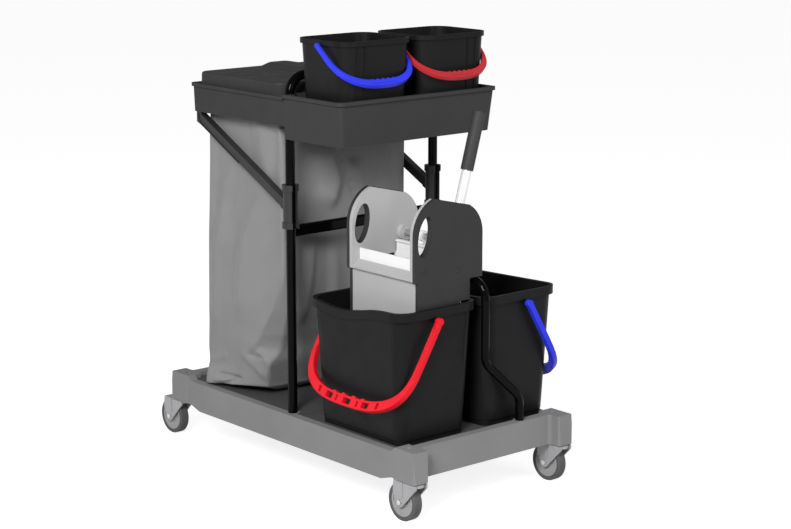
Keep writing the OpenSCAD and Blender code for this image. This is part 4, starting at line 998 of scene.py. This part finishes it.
@dataclass
class HemStitches:
    """Thread that holds the hem down, one short stitch repeated along it."""

    paint: Paintbox
    pitch: float = 0.0085
    thread: float = 0.0005
    length: float = 0.0055
    sides: int = 8

    def build(self, line: np.ndarray) -> None:
        """Sew along a line.

        Args:
            line: Points of the closed line.
        """
        mesh = bpy.data.meshes.new("hem_line")
        count = len(line)
        mesh.from_pydata(line.tolist(), [(i, (i + 1) % count) for i in range(count)], [])
        carrier = new_piece("hem_line", mesh)
        modifier = carrier.modifiers.new("stitches", "NODES")
        modifier.node_group = self._group()
        items = modifier.node_group.interface.items_tree
        sockets = {s.name: s.identifier for s in items if s.in_out == "INPUT"}
        modifier[sockets["Pitch"]] = self.pitch
        modifier[sockets["Thread"]] = self.thread
        modifier[sockets["Length"]] = self.length
        graph = bpy.context.evaluated_depsgraph_get()
        sewn = bpy.data.meshes.new_from_object(carrier.evaluated_get(graph))
        bpy.data.objects.remove(carrier)
        sewn.name = "bag_hem_stitches"
        piece = new_piece("bag_hem_stitches", sewn)
        self.paint.dress(piece, "grip_dark")
        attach(piece, "cart")
        log.info("made %s with %d faces", piece.name, len(sewn.polygons))

    def _group(self) -> bpy.types.NodeTree:
        """Node group that sets stitches along a line of edges.

        Returns:
            The group, with its pitch, thread and length as inputs.
        """
        group = bpy.data.node_groups.new("stitch_row", "GeometryNodeTree")
        face = group.interface
        face.new_socket("Geometry", in_out="INPUT", socket_type="NodeSocketGeometry")
        for name in ("Pitch", "Thread", "Length"):
            face.new_socket(name, in_out="INPUT", socket_type="NodeSocketFloat")
        face.new_socket("Geometry", in_out="OUTPUT", socket_type="NodeSocketGeometry")
        add, join = group.nodes.new, group.links.new
        start, end = add("NodeGroupInput"), add("NodeGroupOutput")
        curve, spread = add("GeometryNodeMeshToCurve"), add("GeometryNodeCurveToPoints")
        spread.mode = "LENGTH"
        place, real = add("GeometryNodeInstanceOnPoints"), add("GeometryNodeRealizeInstances")
        stitch = add("GeometryNodeMeshCylinder")
        stitch.inputs["Vertices"].default_value = self.sides
        finish = add("GeometryNodeSetMaterial")
        finish.inputs["Material"].default_value = self.paint.get("grip_dark")
        join(start.outputs["Geometry"], curve.inputs["Mesh"])
        join(curve.outputs["Curve"], spread.inputs["Curve"])
        join(start.outputs["Pitch"], spread.inputs["Length"])
        join(start.outputs["Thread"], stitch.inputs["Radius"])
        join(start.outputs["Length"], stitch.inputs["Depth"])
        join(spread.outputs["Points"], place.inputs["Points"])
        join(spread.outputs["Rotation"], place.inputs["Rotation"])
        join(stitch.outputs["Mesh"], place.inputs["Instance"])
        join(place.outputs["Instances"], real.inputs["Geometry"])
        join(real.outputs["Geometry"], finish.inputs["Geometry"])
        join(finish.outputs["Geometry"], end.inputs["Geometry"])
        return group


@dataclass
class CoverCaps:
    """Round caps over the screws of the wringer's front cover."""

    paint: Paintbox
    places: tuple[tuple[float, float], ...] = ((-0.1705, 0.6129), (-0.0622, 0.6029))
    radius: float = 0.0075
    taper: float = 0.86
    thick: float = 0.0012
    gap: float = 0.00005
    segments: int = 40

    def build(self) -> None:
        """Set the caps on the cover's outer face."""
        face = max(corner[0] for corner in frame["nodes"]["side_cover_front"].bound_box)
        work = bmesh.new()
        for y, z in self.places:
            turn = Matrix.Rotation(math.pi / 2, 4, "Y")
            place = Matrix.Translation((face + self.gap + self.thick / 2, y + CART_Y, z))
            bmesh.ops.create_cone(work, cap_ends=True, segments=self.segments, radius1=self.radius,
                                  radius2=self.radius * self.taper, depth=self.thick,
                                  matrix=place @ turn)
        mesh = bpy.data.meshes.new("cover_screw_caps")
        work.to_mesh(mesh)
        work.free()
        piece = new_piece("cover_screw_caps", mesh)
        self.paint.dress(piece, "cover_dark")
        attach(piece, "cart")
        log.info("made %s with %d faces", piece.name, len(mesh.polygons))


@dataclass
class HandHoleShadeSleeves:
    """Dark sleeves over the walls of the leaning oval hand holes in the wringer's two cheeks, which
    paint the shade inside the holes.
    """

    paint: Paintbox
    centre: tuple[float, float] = (-0.168, 0.700)
    half_width: float = 0.023
    half_height: float = 0.051
    lean: float = 11.0
    cover: float = 0.009
    cheek: float = 0.011
    wall: float = 0.0006
    gap: float = 0.0001
    steps: int = 80
    crisp: float = 40.0

    def build(self) -> None:
        """Make both sleeves as one piece."""
        covers = [[corner[0] for corner in frame["nodes"][name].bound_box]
                  for name in ("side_cover_front", "side_cover_rear")]
        front, rear = max(covers[0]) - self.cover, min(covers[1]) + self.cover
        work = bmesh.new()
        for start, end in ((front, front - self.cheek), (rear, rear + self.cheek)):
            self._sleeve(work, start, end)
        bmesh.ops.recalc_face_normals(work, faces=work.faces)
        mesh = bpy.data.meshes.new("hand_hole_shade_sleeves")
        work.to_mesh(mesh)
        work.free()
        mesh.polygons.foreach_set("use_smooth", [True] * len(mesh.polygons))
        mesh.set_sharp_from_angle(angle=math.radians(self.crisp))
        piece = new_piece("hand_hole_shade_sleeves", mesh)
        # The sleeves' dark finish is painted shade on the holes' grey walls.
        self.paint.dress(piece, "cover_dark")
        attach(piece, "cart")
        log.info("made %s with %d faces", piece.name, len(mesh.polygons))

    def _sleeve(self, work: bmesh.types.BMesh, start: float, end: float) -> None:
        """Add one sleeve.

        Args:
            work: The mesh under construction.
            start: Place of the cover's end along X.
            end: Place of the throat's end along X.
        """
        outer, inner = self.gap, self.gap + self.wall
        rings = []
        for x, inset in ((start, outer), (end, outer), (end, inner), (start, inner)):
            rings.append([work.verts.new((x, *self._point(i, inset))) for i in range(self.steps)])
        for near, far in zip(rings, rings[1:] + rings[:1]):
            for i in range(self.steps):
                k = (i + 1) % self.steps
                work.faces.new((near[i], near[k], far[k], far[i]))

    def _point(self, index: int, inset: float) -> tuple[float, float]:
        """Point of the oval, drawn in by an inset.

        Args:
            index: Step round the oval.
            inset: Metres inside the hole's wall.

        Returns:
            Its y and z.
        """
        turn, lean = math.tau * index / self.steps, math.radians(-self.lean)
        a = (self.half_width - inset) * math.cos(turn)
        b = (self.half_height - inset) * math.sin(turn)
        y = a * math.cos(lean) - b * math.sin(lean)
        z = a * math.sin(lean) + b * math.cos(lean)
        return self.centre[0] + y + CART_Y, self.centre[1] + z


def main() -> None:
    """Build the cart's looks in order."""
    logging.basicConfig(level=logging.INFO, format="%(name)s: %(message)s")
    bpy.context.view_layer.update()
    Studio().build()
    paint = Paintbox()
    CartBody(paint).build()
    RefuseBag(paint).build()
    CoverCaps(paint).build()
    HandHoleShadeSleeves(paint).build()


if __name__ == "__main__":
    main()
